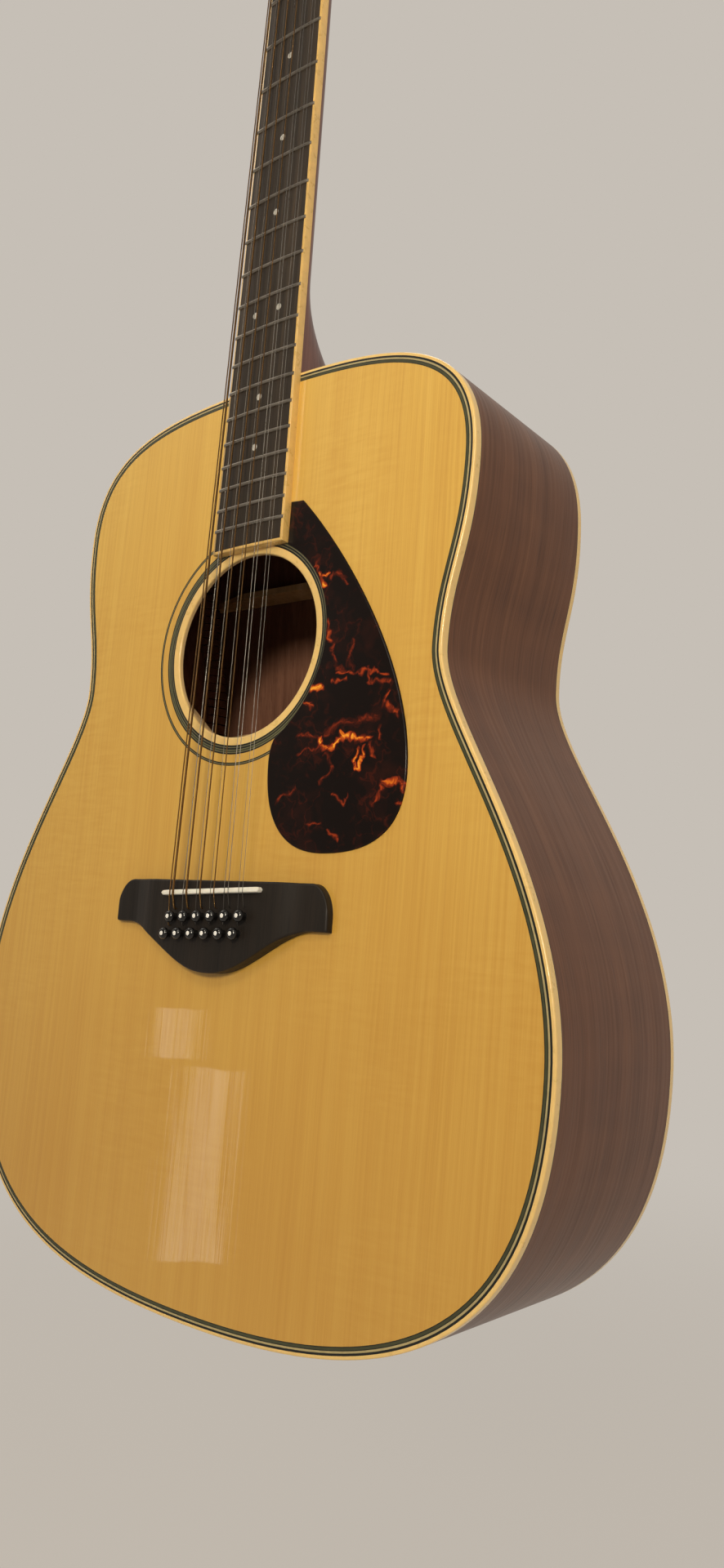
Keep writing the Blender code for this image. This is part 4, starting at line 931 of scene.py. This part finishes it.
def shrink(line, e):
    cx = sum(p[0] for p in line) / len(line)
    cu = sum(p[1] for p in line) / len(line)
    return [(x - e * (1 if x > cx else -1), u - e * (1 if u > cu else -1) * min(1.0, abs(u - cu) / 6.0)) for x, u in line]


lay = [[tuple(head(x, u, n)) for x, u in shrink(cov_full, e)] for e, n in ((0.0, 0.0), (0.0, 1.1), (0.25, 1.45), (0.6, 1.55))]
b.rings(lay, caps=False)
m_ = len(cov_full)
b.flat([(list(range(m_)), cov_full)], None, 0)
b.flat([([3 * m_ + i for i in range(m_)], shrink(cov_full, 0.6))], None, 0)
for u in (7.5, 27.0):
    b.turned(head(0, u, 0), N, X, U, [(1.5, 1.0), (1.5, 1.75), (1.1, 2.05), (0.5, 2.15)], 20, 1)
b.done("truss_rod_cover", [BLACK, NICKEL], weld=0)

# ---- heel cap ---------------------------------------------------------------------------
# (no piece of its own: part of the heel's own outline)

# ===================================================================================
#  fingerboard, frets, dots, nut
# ===================================================================================
RADIUS = 400.0
EDGE_W = 1.5


def crown(x):
    return BOARD_TOP + x * x / (2 * RADIUS)


def board_section(w, inset_w=0.0):
    """Closed section with a crowned top, from the lower left corner round."""
    xs = [-(w - EDGE_W) + 2 * (w - EDGE_W) * k / 16 for k in range(17)]
    e = 0.45
    top = [(w, crown(w) + e), (w - e * 0.35, crown(w) + e * 0.3), (w - e, crown(w - e))]
    pts = [(-w, 0.0), (w, 0.0)] + top + [(x, crown(x)) for x in xs[::-1]] + [(-x, y) for x, y in top[::-1]]
    return pts


b = Build()
zs = [BOARD_END, BOARD_END + 0.35, BOARD_END + EDGE_W, BOARD_END + EDGE_W + 0.01] + [BOARD_END + 2 + (-2.0 - BOARD_END) * k / 24.0 for k in range(25)]
zs[-1] = 0.0
rings = []
for k, z in enumerate(zs):
    sec = board_section(board_half(z))
    if k == 0:
        sec = [(x, min(0.0, y + 0.35) if y < 0 else y) for x, y in sec]
    rings.append([(x, y, z) for x, y in sec])
n_sec = len(rings[0])
ids = [[b.vert(p) for p in r] for r in rings]
wood_from, wood_to = 5, 5 + 16
for q, (r0, r1) in enumerate(zip(ids, ids[1:])):
    for i in range(n_sec):
        j = (i + 1) % n_sec
        dark = wood_from <= i < wood_to and q >= 3
        under = i == 0
        b.face((r0[i], r0[j], r1[j], r1[i]), 0 if (dark or under) else 1)
b.face(ids[0][::-1], 1)
b.face(ids[-1], 0)
b.done("fingerboard_bound", [BOARDW, CREAM_DARK], replaces=["fingerboard"], angle=30)


def fret_z(n):
    return -SCALE_LEN * (1 - 2 ** (-n / 12))


b = Build()
for n in range(1, FRETS + 1):
    z0, w = fret_z(n), board_half(fret_z(n)) - 0.35
    rings = []
    cols = 13
    for k in range(-cols, cols + 1):
        x = w * k / cols
        end = 1.0 if abs(k) < cols else 0.55
        prof = []
        for j in range(9):
            a = math.pi * j / 8
            prof.append((x, crown(x) + 0.05 - 1.1 * end * math.sin(a) ** 0.8, z0 - 1.0 * math.cos(a)))
        rings.append(prof)
    b.rings(rings)
b.done("fret_wires", [FRETM], replaces=["frets"], weld=0, angle=40)

b = Build()
for n, xs in ((3, (0,)), (5, (0,)), (7, (0,)), (9, (0,)), (12, (-9.0, 9.0)), (15, (0,)), (17, (0,))):
    zc = 0.5 * (fret_z(n) + fret_z(n - 1))
    for x in xs:
        b.turned(Vector((x, crown(x), zc)), -Y, X, Z, [(1.9, -0.8), (1.9, 0.02), (1.7, 0.04)], 28)
b.done("dot_inlays", [PEARL], weld=0)

# nut: bone bar with a slot under each string


def nut_x(i):
    k = i // 2
    left = -NUT_SPREAD + (2 * NUT_SPREAD - NUT_PAIR) * k / 5
    return left + (NUT_PAIR if i % 2 else 0.0)


b = Build()
xs = sorted({round((BOARD_NUT - 0.3) * (k / 20 - 1), 3) for k in range(41)} |
            {round(nut_x(i) + s * (STRINGS[i][1] / 2 + g), 3) for i in range(12) for s in (-1, 1) for g in (0.02, 0.12)})
rings = []
for x in xs:
    top = STRING_NUT_Y - 0.62 + 0.5 * (x / 22.0) ** 2
    if abs(x) > BOARD_NUT - 0.9:
        top += 0.5
    for i in range(12):
        if abs(x - nut_x(i)) <= STRINGS[i][1] / 2 + 0.03:
            top = STRING_NUT_Y + 0.03
    rings.append([(x, 0.0, 0.02), (x, 0.0, 5.45), (x, top + 1.5, 5.45), (x, top + 0.5, 4.9), (x, top + 0.12, 3.6), (x, top, 2.0),
                  (x, top, 0.6), (x, top + 0.25, 0.1), (x, top + 0.7, 0.02)])
b.rings(rings)
b.done("nut_bone", [BONE], replaces=["nut"], angle=30)


# ===================================================================================
#  bridge, saddle, pins, pickguard
# ===================================================================================
def bridge_low(x):
    a = abs(x)
    if a <= 68:
        t = a / 68.0
        return -679.2 + 24.6 * (3 * t * t - 2 * t ** 3) ** 1.15
    return -654.6


def bridge_high(x):
    a = abs(x)
    if a <= 66:
        return -631.0
    t = (a - 66) / (BRIDGE_HALF - 66)
    return -631.0 - 17.0 * (1 - math.sqrt(max(0.0, 1 - t * t)))


def bridge_face(x):
    t = smooth((abs(x) - 44) / 20.0)
    return FACE_Y + (WING_Y - FACE_Y) * t


b = Build()
xs = []
x = 0.0
while x < 66.0:
    xs.append(x)
    x += 1.5
xs += [66.0, 67.5, 69.0, 70.4, 71.8, 73.2, 74.4, 75.4, 76.2, 76.8, 77.15, 77.4, 77.6, 77.74, BRIDGE_HALF]
xs = [-x for x in xs[:0:-1]] + xs
rings = []
R_B = 1.3
for x in xs:
    lo, hi, y = bridge_low(x), bridge_high(x), bridge_face(x)
    over = max(0.0, abs(x) - (BRIDGE_HALF - R_B))
    y = y + R_B - math.sqrt(max(0.0, R_B ** 2 - over ** 2))
    k = 5
    ring = [(x, 0.0, hi), (x, 0.0, lo)]
    for j in range(k + 1):
        a = math.pi / 2 * j / k
        ring.append((x, y + R_B * (1 - math.sin(a)), lo + R_B * (1 - math.cos(a))))
    for j in range(k + 1):
        a = math.pi / 2 * (1 - j / k)
        ring.append((x, y + R_B * (1 - math.sin(a)), hi - R_B * (1 - math.cos(a))))
    rings.append(ring)
b.rings(rings)
b.done("bridge_wood", [BRIDGEW], replaces=["bridge"], angle=40)


def saddle_z(x):
    return SADDLE_Z + SADDLE_SLANT * x


b = Build()
ang = math.atan(SADDLE_SLANT)
rings = []
cols = 40
for k in range(-cols, cols + 1):
    l = SADDLE_HALF * k / cols
    edge = SADDLE_HALF - abs(l)
    half = SADDLE_T / 2 * (1.0 if edge > 1.3 else math.sqrt(max(0.02, 1 - ((1.3 - edge) / 1.3) ** 2)))
    cx = SADDLE_X + l * math.cos(ang)
    cz = saddle_z(SADDLE_X) + l * math.sin(ang)
    top = STRING_SADDLE_Y + 0.02 + max(0.0, (abs(l) - 29.0)) ** 2 * 0.018
    ring = []
    for oz, y in ((-half, -6.0), (-half, top + 0.9), (-half * 0.86, top + 0.35), (-half * 0.5, top + 0.06), (0.0, top), (half * 0.5, top + 0.06),
                  (half * 0.86, top + 0.35), (half, top + 0.9), (half, -6.0)):
        ring.append((cx - oz * math.sin(ang), y, cz + oz * math.cos(ang)))
    rings.append(ring)
b.rings(rings)
b.done("saddle_bone", [BONE], replaces=["saddle"], angle=40)


def pin_x(i):
    xr = COURSE_X0 + COURSE_PITCH * (i // 2)
    return xr - 1.4 if i % 2 else xr - 4.8


def pin_z(i):
    return PIN_Z[0 if i % 2 else 1] + PIN_SLANT * pin_x(i)


b = Build()
for i in range(12):
    c = Vector((pin_x(i), FACE_Y, pin_z(i)))
    b.turned(c, -Y, X, Z, [(2.2, -1.2), (2.25, -0.3), (1.95, 0.15), (1.85, 1.0), (1.85, 2.1), (2.0, 2.5), (2.6, 2.8), (3.05, 3.2),
                           (3.25, 3.75), (3.2, 4.35), (2.95, 4.9), (2.5, 5.35), (1.95, 5.68), (1.25, 5.86), (1.15, 5.82), (1.05, 5.94),
                           (0.75, 6.03), (0.35, 6.08)], 28,
             mats=[0] * 14 + [1] * 3)
pins = b.done("pins_black", [BLACK, WHITE], replaces=["bridge_pins"], weld=0, angle=40)


def guard_outline():
    gx = board_half(-440) + 0.6
    end_a = math.asin(gx / GUARD_R)
    pts = [(gx, -424.8)]
    for (p0, p1, p2, p3), n in ((((35.5, -425.6), (60.0, -450.0), (116.8, -520.0), (116.8, -577.0)), 40),
                                (((116.8, -577.0), (116.8, -604.0), (101.0, -615.8), (68.0, -615.8)), 24),
                                (((68.0, -615.8), (41.0, -615.8), (26.2, -600.0), (26.2, -568.0)), 24),
                                (((26.2, -568.0), (26.3, -562.0), (27.2, -558.5), (29.0, -555.6)), 8)):
        for i in range(n):
            t = i / n
            s = 1 - t
            pts.append(tuple(s ** 3 * a + 3 * s * s * t * q + 3 * s * t * t * c + t ** 3 * d for a, q, c, d in zip(p0, p1, p2, p3)))
    lo = math.atan2(29.0, -555.6 - HOLE_Z)
    n = 48
    for i in range(n + 1):
        a = lo + (end_a - lo) * i / n
        r = GUARD_R + GUARD_FLARE * max(0.0, 1 - (lo - a) / 0.6) ** 2
        pts.append((r * math.sin(a), HOLE_Z + r * math.cos(a)))
    return pts


def offset(line, e):
    """A closed clockwise line moved in by e."""
    out = []
    n = len(line)
    for i in range(n):
        a, p, c = Vector(line[i - 1]), Vector(line[i]), Vector(line[(i + 1) % n])
        d1, d2 = (p - a).normalized(), (c - p).normalized()
        t = d1 + d2
        if t.length < 1e-6:
            t = d1
        t.normalize()
        nrm = Vector((t.y, -t.x))
        k = e / max(0.45, abs(nrm.dot(Vector((d1.y, -d1.x)))))
        q = p + nrm * k
        out.append((q.x, q.y))
    return out


b = Build()
g_line = guard_outline()
steps = [(0.0, 0.0), (0.0, -0.5), (0.22, -0.85), (0.6, -1.1), (1.1, -1.2)]
lay = [[(x, y, z) for x, z in offset(g_line, e)] for e, y in steps]
b.rings(lay, caps=False)
m_ = len(g_line)
b.flat([(list(range(m_)), g_line)], None, 0)
b.flat([([4 * m_ + i for i in range(m_)], offset(g_line, 1.1))], None, 0)
b.done("pickguard_plate", [GUARD], replaces=["pickguard"], angle=40)

# ===================================================================================
#  end pin
# ===================================================================================
b = Build()
PIN_END_Y = 0.5 * depth(TAIL_Z)
prof = catmull([(4.6, -6.0), (4.9, -1.0), (5.2, 0.1), (7.6, 0.2), (8.2, 1.2), (7.8, 2.4), (5.6, 3.6), (4.9, 5.2), (4.8, 6.8), (6.2, 8.2), (7.0, 9.2),
                (6.6, 10.2), (5.2, 10.5), (1.5, 10.6)], 5)
b.turned(Vector((0, PIN_END_Y, TAIL_Z)), -Z, X, Y, prof, 40)
b.done("end_pin_turned", [BLACK], replaces=["end_pin"], angle=40)


# ===================================================================================
#  tuners
# ===================================================================================
def post_u(row):
    return POST_U0 + POST_DU * row


def place(i):
    sx = -1 if i < 6 else 1
    return sx, (i if i < 6 else 11 - i)


def tuner_plate(name, cad, sx):
    b = Build()
    u0, u1 = post_u(0) - 14.5, post_u(5) + 9.0
    w = 7.5
    xc = sx * POST_X

    def rr(e):
        """Strip outline with round corners, moved in by e."""
        pts = []
        r = 3.5
        for cx, cu, a0 in ((w - r, u0 + r, -90), (w - r, u1 - r, 0), (-w + r, u1 - r, 90), (-w + r, u0 + r, 180)):
            for k in range(7):
                a = math.radians(a0 + 15 * k)
                pts.append((xc + cx + (r - e) * math.cos(a), cu + (r - e) * math.sin(a)))
        return pts

    top = -HEAD_T
    lay = [[tuple(head(x, u, n)) for x, u in rr(e)] for e, n in ((0.0, top), (0.0, top - 0.95), (0.12, top - 1.2), (0.35, top - 1.3))]
    b.rings(lay)
    # bearing tabs, rounded at the top
    for row in range(6):
        uc = post_u(row) - WORM_CD
        for tx in (xc - 6.4, xc + 6.4):
            prof = [(-3.4, top - 1.0)]
            for k in range(13):
                a = math.pi * k / 12
                prof.append((-3.4 * math.cos(a), WHEEL_N - 3.4 * math.sin(a) ** 0.9 if math.sin(a) > 0 else WHEEL_N))
            prof.append((3.4, top - 1.0))
            b.rings([[tuple(head(tx + dx, uc + pu * s, pn)) for pu, pn in prof]
                     for dx, s in ((-0.7, 0.94), (-0.55, 1.0), (0.55, 1.0), (0.7, 0.94))])
            # burr around the shaft's hole
            for side_x in (-1, 1):
                b.turned(head(tx, uc, WHEEL_N), X * side_x, U, N, [(2.75, 0.5), (2.75, 0.95), (2.35, 1.15), (1.75, 1.15), (1.7, 0.5)], 24)
    # screws between the tuners: round heads with a cross slot
    for row in range(7):
        uc = post_u(0) - 14.5 + 2.6 if row == 0 else (post_u(row - 1) + 8.3 if row < 6 else post_u(5) + 6.4)
        c = head(xc + (0.0 if row in (0, 6) else sx * 0.0), uc, top - 1.25)
        b.turned(c, -N, X, U, [(1.9, -0.3), (1.9, 0.12), (1.6, 0.5), (1.0, 0.75), (0.4, 0.8)], 24, 1)
        for ax, ay in ((X, U), (U, X)):
            v = []
            for q in (0.62, 0.83):
                for s, t in ((-1, -1), (1, -1), (1, 1), (-1, 1)):
                    v.append(b.vert(c - N * q + ax * (1.15 * s) + ay * (0.17 * t)))
            for f in ((3, 2, 1, 0), (4, 5, 6, 7), (0, 1, 5, 4), (1, 2, 6, 5), (2, 3, 7, 6), (3, 0, 4, 7)):
                b.face([v[i] for i in f], 2)
    return b.done(name, [NICKEL, NICKEL, BLACK], replaces=[cad], weld=0, angle=35)


tuner_plate("plate_with_tabs_bass", "tuner_plate_bass", -1)
tuner_plate("plate_with_tabs_treble", "tuner_plate_treble", 1)

# ferrules pressed into the face around the posts
for sx, nm in ((-1, "bass"), (1, "treble")):
    b = Build()
    for row in range(6):
        c = head(sx * POST_X, post_u(row), 0)
        b.turned(c, N, X, U, [(5.0, -0.8), (5.9, 0.0), (6.0, 0.5), (5.7, 0.95), (4.7, 1.3), (4.3, 1.9), (3.9, 2.1), (3.35, 2.1), (3.3, 0.4)], 40)
    b.done("ferrules_" + nm, [NICKEL], weld=0, angle=40)


def post_piece(tag, centre):
    b = Build()
    lo, hi = WHEEL_N - WHEEL_T / 2, WHEEL_N + WHEEL_T / 2
    # shaft above the wheel
    b.turned(centre, N, X, U, [(2.6, hi - 0.4), (3.0, hi), (3.0, -1.0), (3.0, 5.0), (2.86, 6.0), (2.8, 7.6), (2.86, 9.4), (3.0, 10.2), (3.0, 11.9),
                               (2.85, 12.4), (2.4, 12.8), (1.4, 12.98), (0.6, 13.0)], 32)
    # cap screw below the wheel
    b.turned(centre, -N, X, U, [(2.6, -lo - 0.4), (2.6, -lo + 0.4), (2.5, -lo + 1.0), (2.1, -lo + 1.35), (0.8, -lo + 1.4)], 28)
    v = []
    for q in (-lo + 1.25, -lo + 1.43):
        for s, t in ((-1, -1), (1, -1), (1, 1), (-1, 1)):
            v.append(b.vert(centre - N * q + X * (1.7 * s) + U * (0.25 * t)))
    for f in ((3, 2, 1, 0), (4, 5, 6, 7), (0, 1, 5, 4), (1, 2, 6, 5), (2, 3, 7, 6), (3, 0, 4, 7)):
        b.face([v[i] for i in f], 1)
    # worm wheel: straight flanks between the root and the tip, tip corners eased
    prof = []
    for k in range(TEETH):
        a = -math.pi / 2 + 2 * math.pi * k / TEETH
        for f in (0.0, 0.12, 0.24, 0.335, 0.37, 0.43, 0.5, 0.57, 0.63, 0.665, 0.76, 0.88):
            g = f if f <= 0.5 else 1 - f
            r = WHEEL_ROOT + (WHEEL_TIP - WHEEL_ROOT) * min(g / 0.36, 1.0)
            if g >= 0.36:
                r = WHEEL_TIP
            elif g > 0.32:
                r -= 0.08
            t = a + 2 * math.pi * f / TEETH
            prof.append((r * math.cos(t), r * math.sin(t), r))

    def gear(n, cut):
        return [centre + N * n + X * (px * (r - cut) / r) + U * (pu * (r - cut) / r) for px, pu, r in prof]

    b.rings([gear(lo, 0.35), gear(lo + 0.3, 0.0), gear(hi - 0.3, 0.0), gear(hi, 0.35)], mat=2)
    return b.done("string_post_" + tag, [NICKEL, BLACK, BRASS], body="post_" + tag, replaces=["post_" + tag], weld=0, angle=32)


BRASS = metal("worm_wheel_brass", (196, 164, 96), 0.28)


def knob_piece(tag, wc, sx):
    b = Build()
    S, T = 32, 2
    prof = ((-0.62, WORM_ROOT), (-0.38, WORM_TIP - 0.25), (-0.24, WORM_TIP), (0.24, WORM_TIP), (0.38, WORM_TIP - 0.25), (0.62, WORM_ROOT))
    L = len(prof) - 1

    def point(x, r, a):
        return b.vert(wc + X * x + U * (r * math.cos(a)) + N * (r * math.sin(a)))

    rows = []
    for dx, r in prof:
        rows.append([point(PITCH * (s / S - T / 2) + dx, r, 2 * math.pi * (s / S - T / 2)) for s in range(S * T + 1)])
    for s in range(S * T):
        for i in range(L):
            b.face((rows[i][s], rows[i][s + 1], rows[i + 1][s + 1], rows[i + 1][s]))
    for s in range(S * (T - 1)):
        b.face((rows[L][s], rows[L][s + 1], rows[0][s + S + 1], rows[0][s + S]))

    def ring(x, r):
        return [point(x, r, 2 * math.pi * s / S - math.pi * T) for s in range(S)]

    def skin(p, q):
        for i in range(len(p)):
            j = (i + 1) % len(p)
            b.face((p[i], p[j], q[j], q[i]))

    half = PITCH * T / 2
    left, right = ring(-half - 1.6, SHAFT_R), ring(half + 1.6, SHAFT_R)
    for s in range(S):
        j = (s + 1) % S
        b.face((left[s], left[j], rows[0][s + 1], rows[0][s]))
        q = S * (T - 1) + s
        b.face((rows[L][q], rows[L][q + 1], right[j], right[s]))
    b.face([left[0]] + [rows[i][0] for i in range(L + 1)] + [rows[0][S]])
    e = S * T
    b.face([right[0]] + [rows[i][e] for i in range(L, -1, -1)] + [rows[L][e - S]])
    inner, outer = (left, right) if sx > 0 else (right, left)
    tail = ring(-sx * 7.9, SHAFT_R)
    skin(inner, tail)
    b.face(tail)
    reach = BUTTON_X - POST_X
    last = outer
    # shaft, collar, then the oval button
    for x, r in ((8.2, SHAFT_R), (8.3, 2.3), (9.6, 2.3), (9.8, SHAFT_R), (reach - 8.4, SHAFT_R), (reach - 8.2, 2.1), (reach - 7.0, 2.35)):
        nxt = ring(sx * x, r)
        skin(last, nxt)
        last = nxt
    M = 22
    for k in range(1, M + 1):
        t = k / M
        x = reach - 7.0 + 15.0 * t
        # button: grows from the stem, fullest near two thirds, rounded end
        grow = smooth(t / 0.42)
        fall = math.sqrt(max(0.0, 1 - max(0.0, (t - 0.62) / 0.38) ** 2.6))
        hu = (2.35 + (8.0 - 2.35) * grow) * (0.16 + 0.84 * fall)
        hn = (2.35 + (3.8 - 2.35) * grow) * (0.16 + 0.84 * fall)
        if k == M:
            hu, hn = hu * 0.75, hn * 0.75
        nxt = []
        for s in range(S):
            a = 2 * math.pi * s / S - math.pi * T
            ca, sa = math.cos(a), math.sin(a)
            nxt.append(b.vert(wc + X * (sx * x) + U * (hu * (1 if ca > 0 else -1) * abs(ca) ** 0.85) + N * (hn * (1 if sa > 0 else -1) * abs(sa) ** 0.85)))
        skin(last, nxt)
        last = nxt
    b.face(last)
    return b.done("tuner_key_" + tag, [NICKEL], body="knob_" + tag, replaces=["knob_" + tag], weld=0, angle=40)


for i, (tag, dia, is_wound) in enumerate(STRINGS):
    sx, row = place(i)
    post_piece(tag, head(sx * POST_X, post_u(row), 0))
    knob_piece(tag, head(sx * POST_X, post_u(row) - WORM_CD, WHEEL_N), sx)


# ===================================================================================
#  strings: the run rides with the body, the coil with its post
# ===================================================================================
def saddle_x(i):
    return COURSE_X0 + COURSE_PITCH * (i // 2) - (0.0 if i % 2 else PAIR)


for i, (tag, dia, is_wound) in enumerate(STRINGS):
    r = dia / 2
    sx, row = place(i)
    px, nz = pin_x(i), pin_z(i) + NOTCH
    s, n = saddle_x(i), nut_x(i)
    c = head(sx * POST_X, post_u(row), 0)
    rad = POST_R + r + 0.02
    top = 6.2
    # tangent from the nut to the inner side of the post, in the headstock's plane
    q = Vector((n, STRING_NUT_Y - r, HEAD_Z0 - 0.2))
    qx, qu = q.x, (q - Vector((0, 0, HEAD_Z0))).dot(U)
    dx, du = (qx - sx * POST_X) * sx, qu - post_u(row)
    dist = math.hypot(dx, du)
    base = math.atan2(du, dx)
    a0 = base - math.acos(rad / dist)
    a1 = base + math.acos(rad / dist)
    # the tangent point on the side towards the centre line
    a_t = min((a0, a1), key=lambda a: math.cos(a))

    def on_post(a, h):
        return c + X * (sx * rad * math.cos(a)) + U * (rad * math.sin(a)) + N * h

    step = 2 * math.pi / 28
    pitch = 2 * r * 1.04

    def coil_h(turned):
        return top + pitch * turned / (2 * math.pi)

    run = rounded([(px, 3.0, nz), (px, FACE_Y - 0.7 - r, nz + 0.7 + r * 0.5), (s, STRING_SADDLE_Y - r + 0.03, saddle_z(s) - 0.9),
                   (s, STRING_SADDLE_Y - r, saddle_z(s) + 0.5), (n, STRING_NUT_Y - r, 0.4), (n, STRING_NUT_Y - r, HEAD_Z0 - 0.2),
                   on_post(a_t, top)], 1.2)
    tail = [on_post(a_t - step * k, coil_h(step * k)) for k in range(1, 3)]
    b = Build()
    tube(b, run + tail, r, 12)
    b.done("string_run_" + tag, [GOLD if is_wound else STEEL], replaces=["string_" + tag],
           weld=0, angle=60)
    turns = min(4.5, 3.0 / (2 * r * 1.04))
    whole = 2 * math.pi * turns
    m = int(whole / step)
    path = [on_post(a_t - whole * k / m, coil_h(whole * k / m)) for k in range(m + 1)]
    ae = a_t - whole
    hole = coil_h(whole) + 0.35
    end_dir = X * (sx * math.cos(ae)) + U * math.sin(ae)
    tang = X * (sx * math.sin(ae)) - U * math.cos(ae)
    path += [c + N * (hole - 0.15) + end_dir * (rad - 0.25) + tang * 0.9 * (1 + r), c + N * hole + end_dir * (rad - 1.0) + tang * 0.6,
             c + N * hole + end_dir * 1.2, c + N * hole - end_dir * 2.0, c + N * hole - end_dir * 5.2]
    b = Build()
    tube(b, path, r, 12)
    b.done("string_coil_" + tag, [GOLD if is_wound else STEEL], body="post_" + tag,
           weld=0, angle=60)

# ---- pieces that keep their CAD shape get their own woods and metals -------------------------
KEPT = {"head_block": NECKW, "tail_block": BRACE, "x_brace": BRACE, "transverse_brace": BRACE, "back_bracing": BRACE,
        "bridge_plate": NECKW, "truss_rod": STEEL}
for name, mat in KEPT.items():
    ob = NODES[name]
    ob = ob if isinstance(ob, bpy.types.Object) else bpy.data.objects[name]
    if not ob.material_slots:
        ob.data.materials.append(mat)
    for s in ob.material_slots:
        s.material = mat

# ===================================================================================
#  floor, light, camera
# ===================================================================================
scene = bpy.context.scene
LIGHT_SIDE, DARK_SIDE = srgb(198, 191, 182), srgb(140, 134, 127)


def backdrop(nt, direction):
    """Pale behind the guitar, dimmer on the side its face looks at."""
    d = node(nt, "VectorMath", {0: direction}, operation='NORMALIZE').outputs[0]
    y = node(nt, "SeparateXYZ", {0: d}).outputs["Y"]
    return ramp(nt, math_node(nt, 'MULTIPLY_ADD', y, 0.5, 0.5), [(0.16, DARK_SIDE), (0.62, LIGHT_SIDE)], 'EASE')


scene.view_settings.view_transform = 'Standard'
scene.view_settings.look = 'None'

me = bpy.data.meshes.new("floor")
me.from_pydata([(-14, -14, -1.55), (14, -14, -1.55), (14, 14, -1.55), (-14, 14, -1.55)], [], [(0, 1, 2, 3)])
floor = bpy.data.objects.new("floor", me)
scene.collection.objects.link(floor)
m, nt, bsdf = start("floor_pale")
bsdf.inputs["Base Color"].default_value = srgb(214, 209, 202)
bsdf.inputs["Roughness"].default_value = 0.9
bsdf.inputs["Specular IOR Level"].default_value = 0.1
# far away the floor takes the colour of the backdrop, so that no horizon shows
far = ramp(nt, math_node(nt, 'MULTIPLY', node(nt, "VectorMath", {0: coords(nt)}, operation='LENGTH').outputs["Value"], 0.1),
           [(0.10, grey(0.5)), (0.55, grey(1))], 'EASE')
sky = node(nt, "Emission", {"Color": backdrop(nt, coords(nt)), "Strength": 1.0})
both = node(nt, "MixShader", {0: far, 1: bsdf.outputs[0], 2: sky.outputs[0]})
nt.links.new(both.outputs[0], nt.nodes["Material Output"].inputs["Surface"])
me.materials.append(m)

world = bpy.data.worlds.new("studio")
scene.world = world
world.use_nodes = True
bg = world.node_tree.nodes["Background"]
wt = world.node_tree
wt.links.new(backdrop(wt, node(wt, "TexCoord").outputs["Generated"]), bg.inputs["Color"])
bg.inputs["Strength"].default_value = 1.0


def area(name, place_at, aim, size, watts, rgb=(255, 255, 255), size_y=None):
    li = bpy.data.lights.new(name, 'AREA')
    li.shape = 'RECTANGLE'
    li.size = size
    li.size_y = size_y or size
    li.energy = watts
    li.color = srgb(*rgb)[:3]
    ob = bpy.data.objects.new(name, li)
    ob.location = place_at
    ob.rotation_mode = 'QUATERNION'
    ob.rotation_quaternion = (Vector(aim) - Vector(place_at)).to_track_quat('-Z', 'Y')
    scene.collection.objects.link(ob)
    return ob


area("key", (0.95, -1.75, -0.12), (0.0, 0.0, -0.5), 0.34, 25.5, (255, 244, 224))
area("upper", (0.25, -0.72, 0.0), (0.1, 0.0, -0.4), 0.25, 1.9, (255, 246, 226))
area("behind", (-0.9, 1.3, 3.2), (0.0, 0.1, -0.5), 1.2, 30.0, (255, 247, 236))
area("fill", (-2.6, -1.2, 1.9), (0.0, 0.0, -0.5), 1.4, 11.0, (255, 248, 236))
# two tall panes whose soft reflection falls on the lower bout
for side, bx in (("left", -1), ("right", 1)):
    area("pane_%s_top" % side, (-1.338 + 0.0113 * bx, -1.212 - 0.0113 * bx, -0.855), (0.0, 0.0, -0.765), 0.027, 0.018,
         (255, 248, 236), 0.10)
    low = area("pane_%s" % side, (-1.256 + 0.0175 * bx, -1.246 - 0.0175 * bx, -1.102), (0.0, 0.0, -0.765), 0.042, 0.092,
               (255, 248, 236), 0.37)
    low.rotation_quaternion = low.rotation_quaternion @ Quaternion((0.0, 0.0, 1.0), math.radians((-5.0, -0.5)[bx > 0]))

cam_data = bpy.data.cameras.new("camera")
cam = bpy.data.objects.new("camera", cam_data)
scene.collection.objects.link(cam)
cam_data.sensor_fit = 'VERTICAL'
cam_data.sensor_height = 36.0
cam_data.sensor_width = 36.0
cam_data.lens = 26.05
cam_data.clip_start = 0.02
cam_data.clip_end = 60.0
cx, cy, cz = Vector((0.78183, 0.61928, 0.07228)), Vector((0.03492, -0.15923, 0.98662)), Vector((0.62251, -0.76885, -0.14612))
rot = Matrix((cx, cy, cz)).transposed()
cam.matrix_world = Matrix.Translation((0.43367, -0.42483, -0.66250)) @ rot.to_4x4()
scene.camera = cam

bpy.context.view_layer.update()
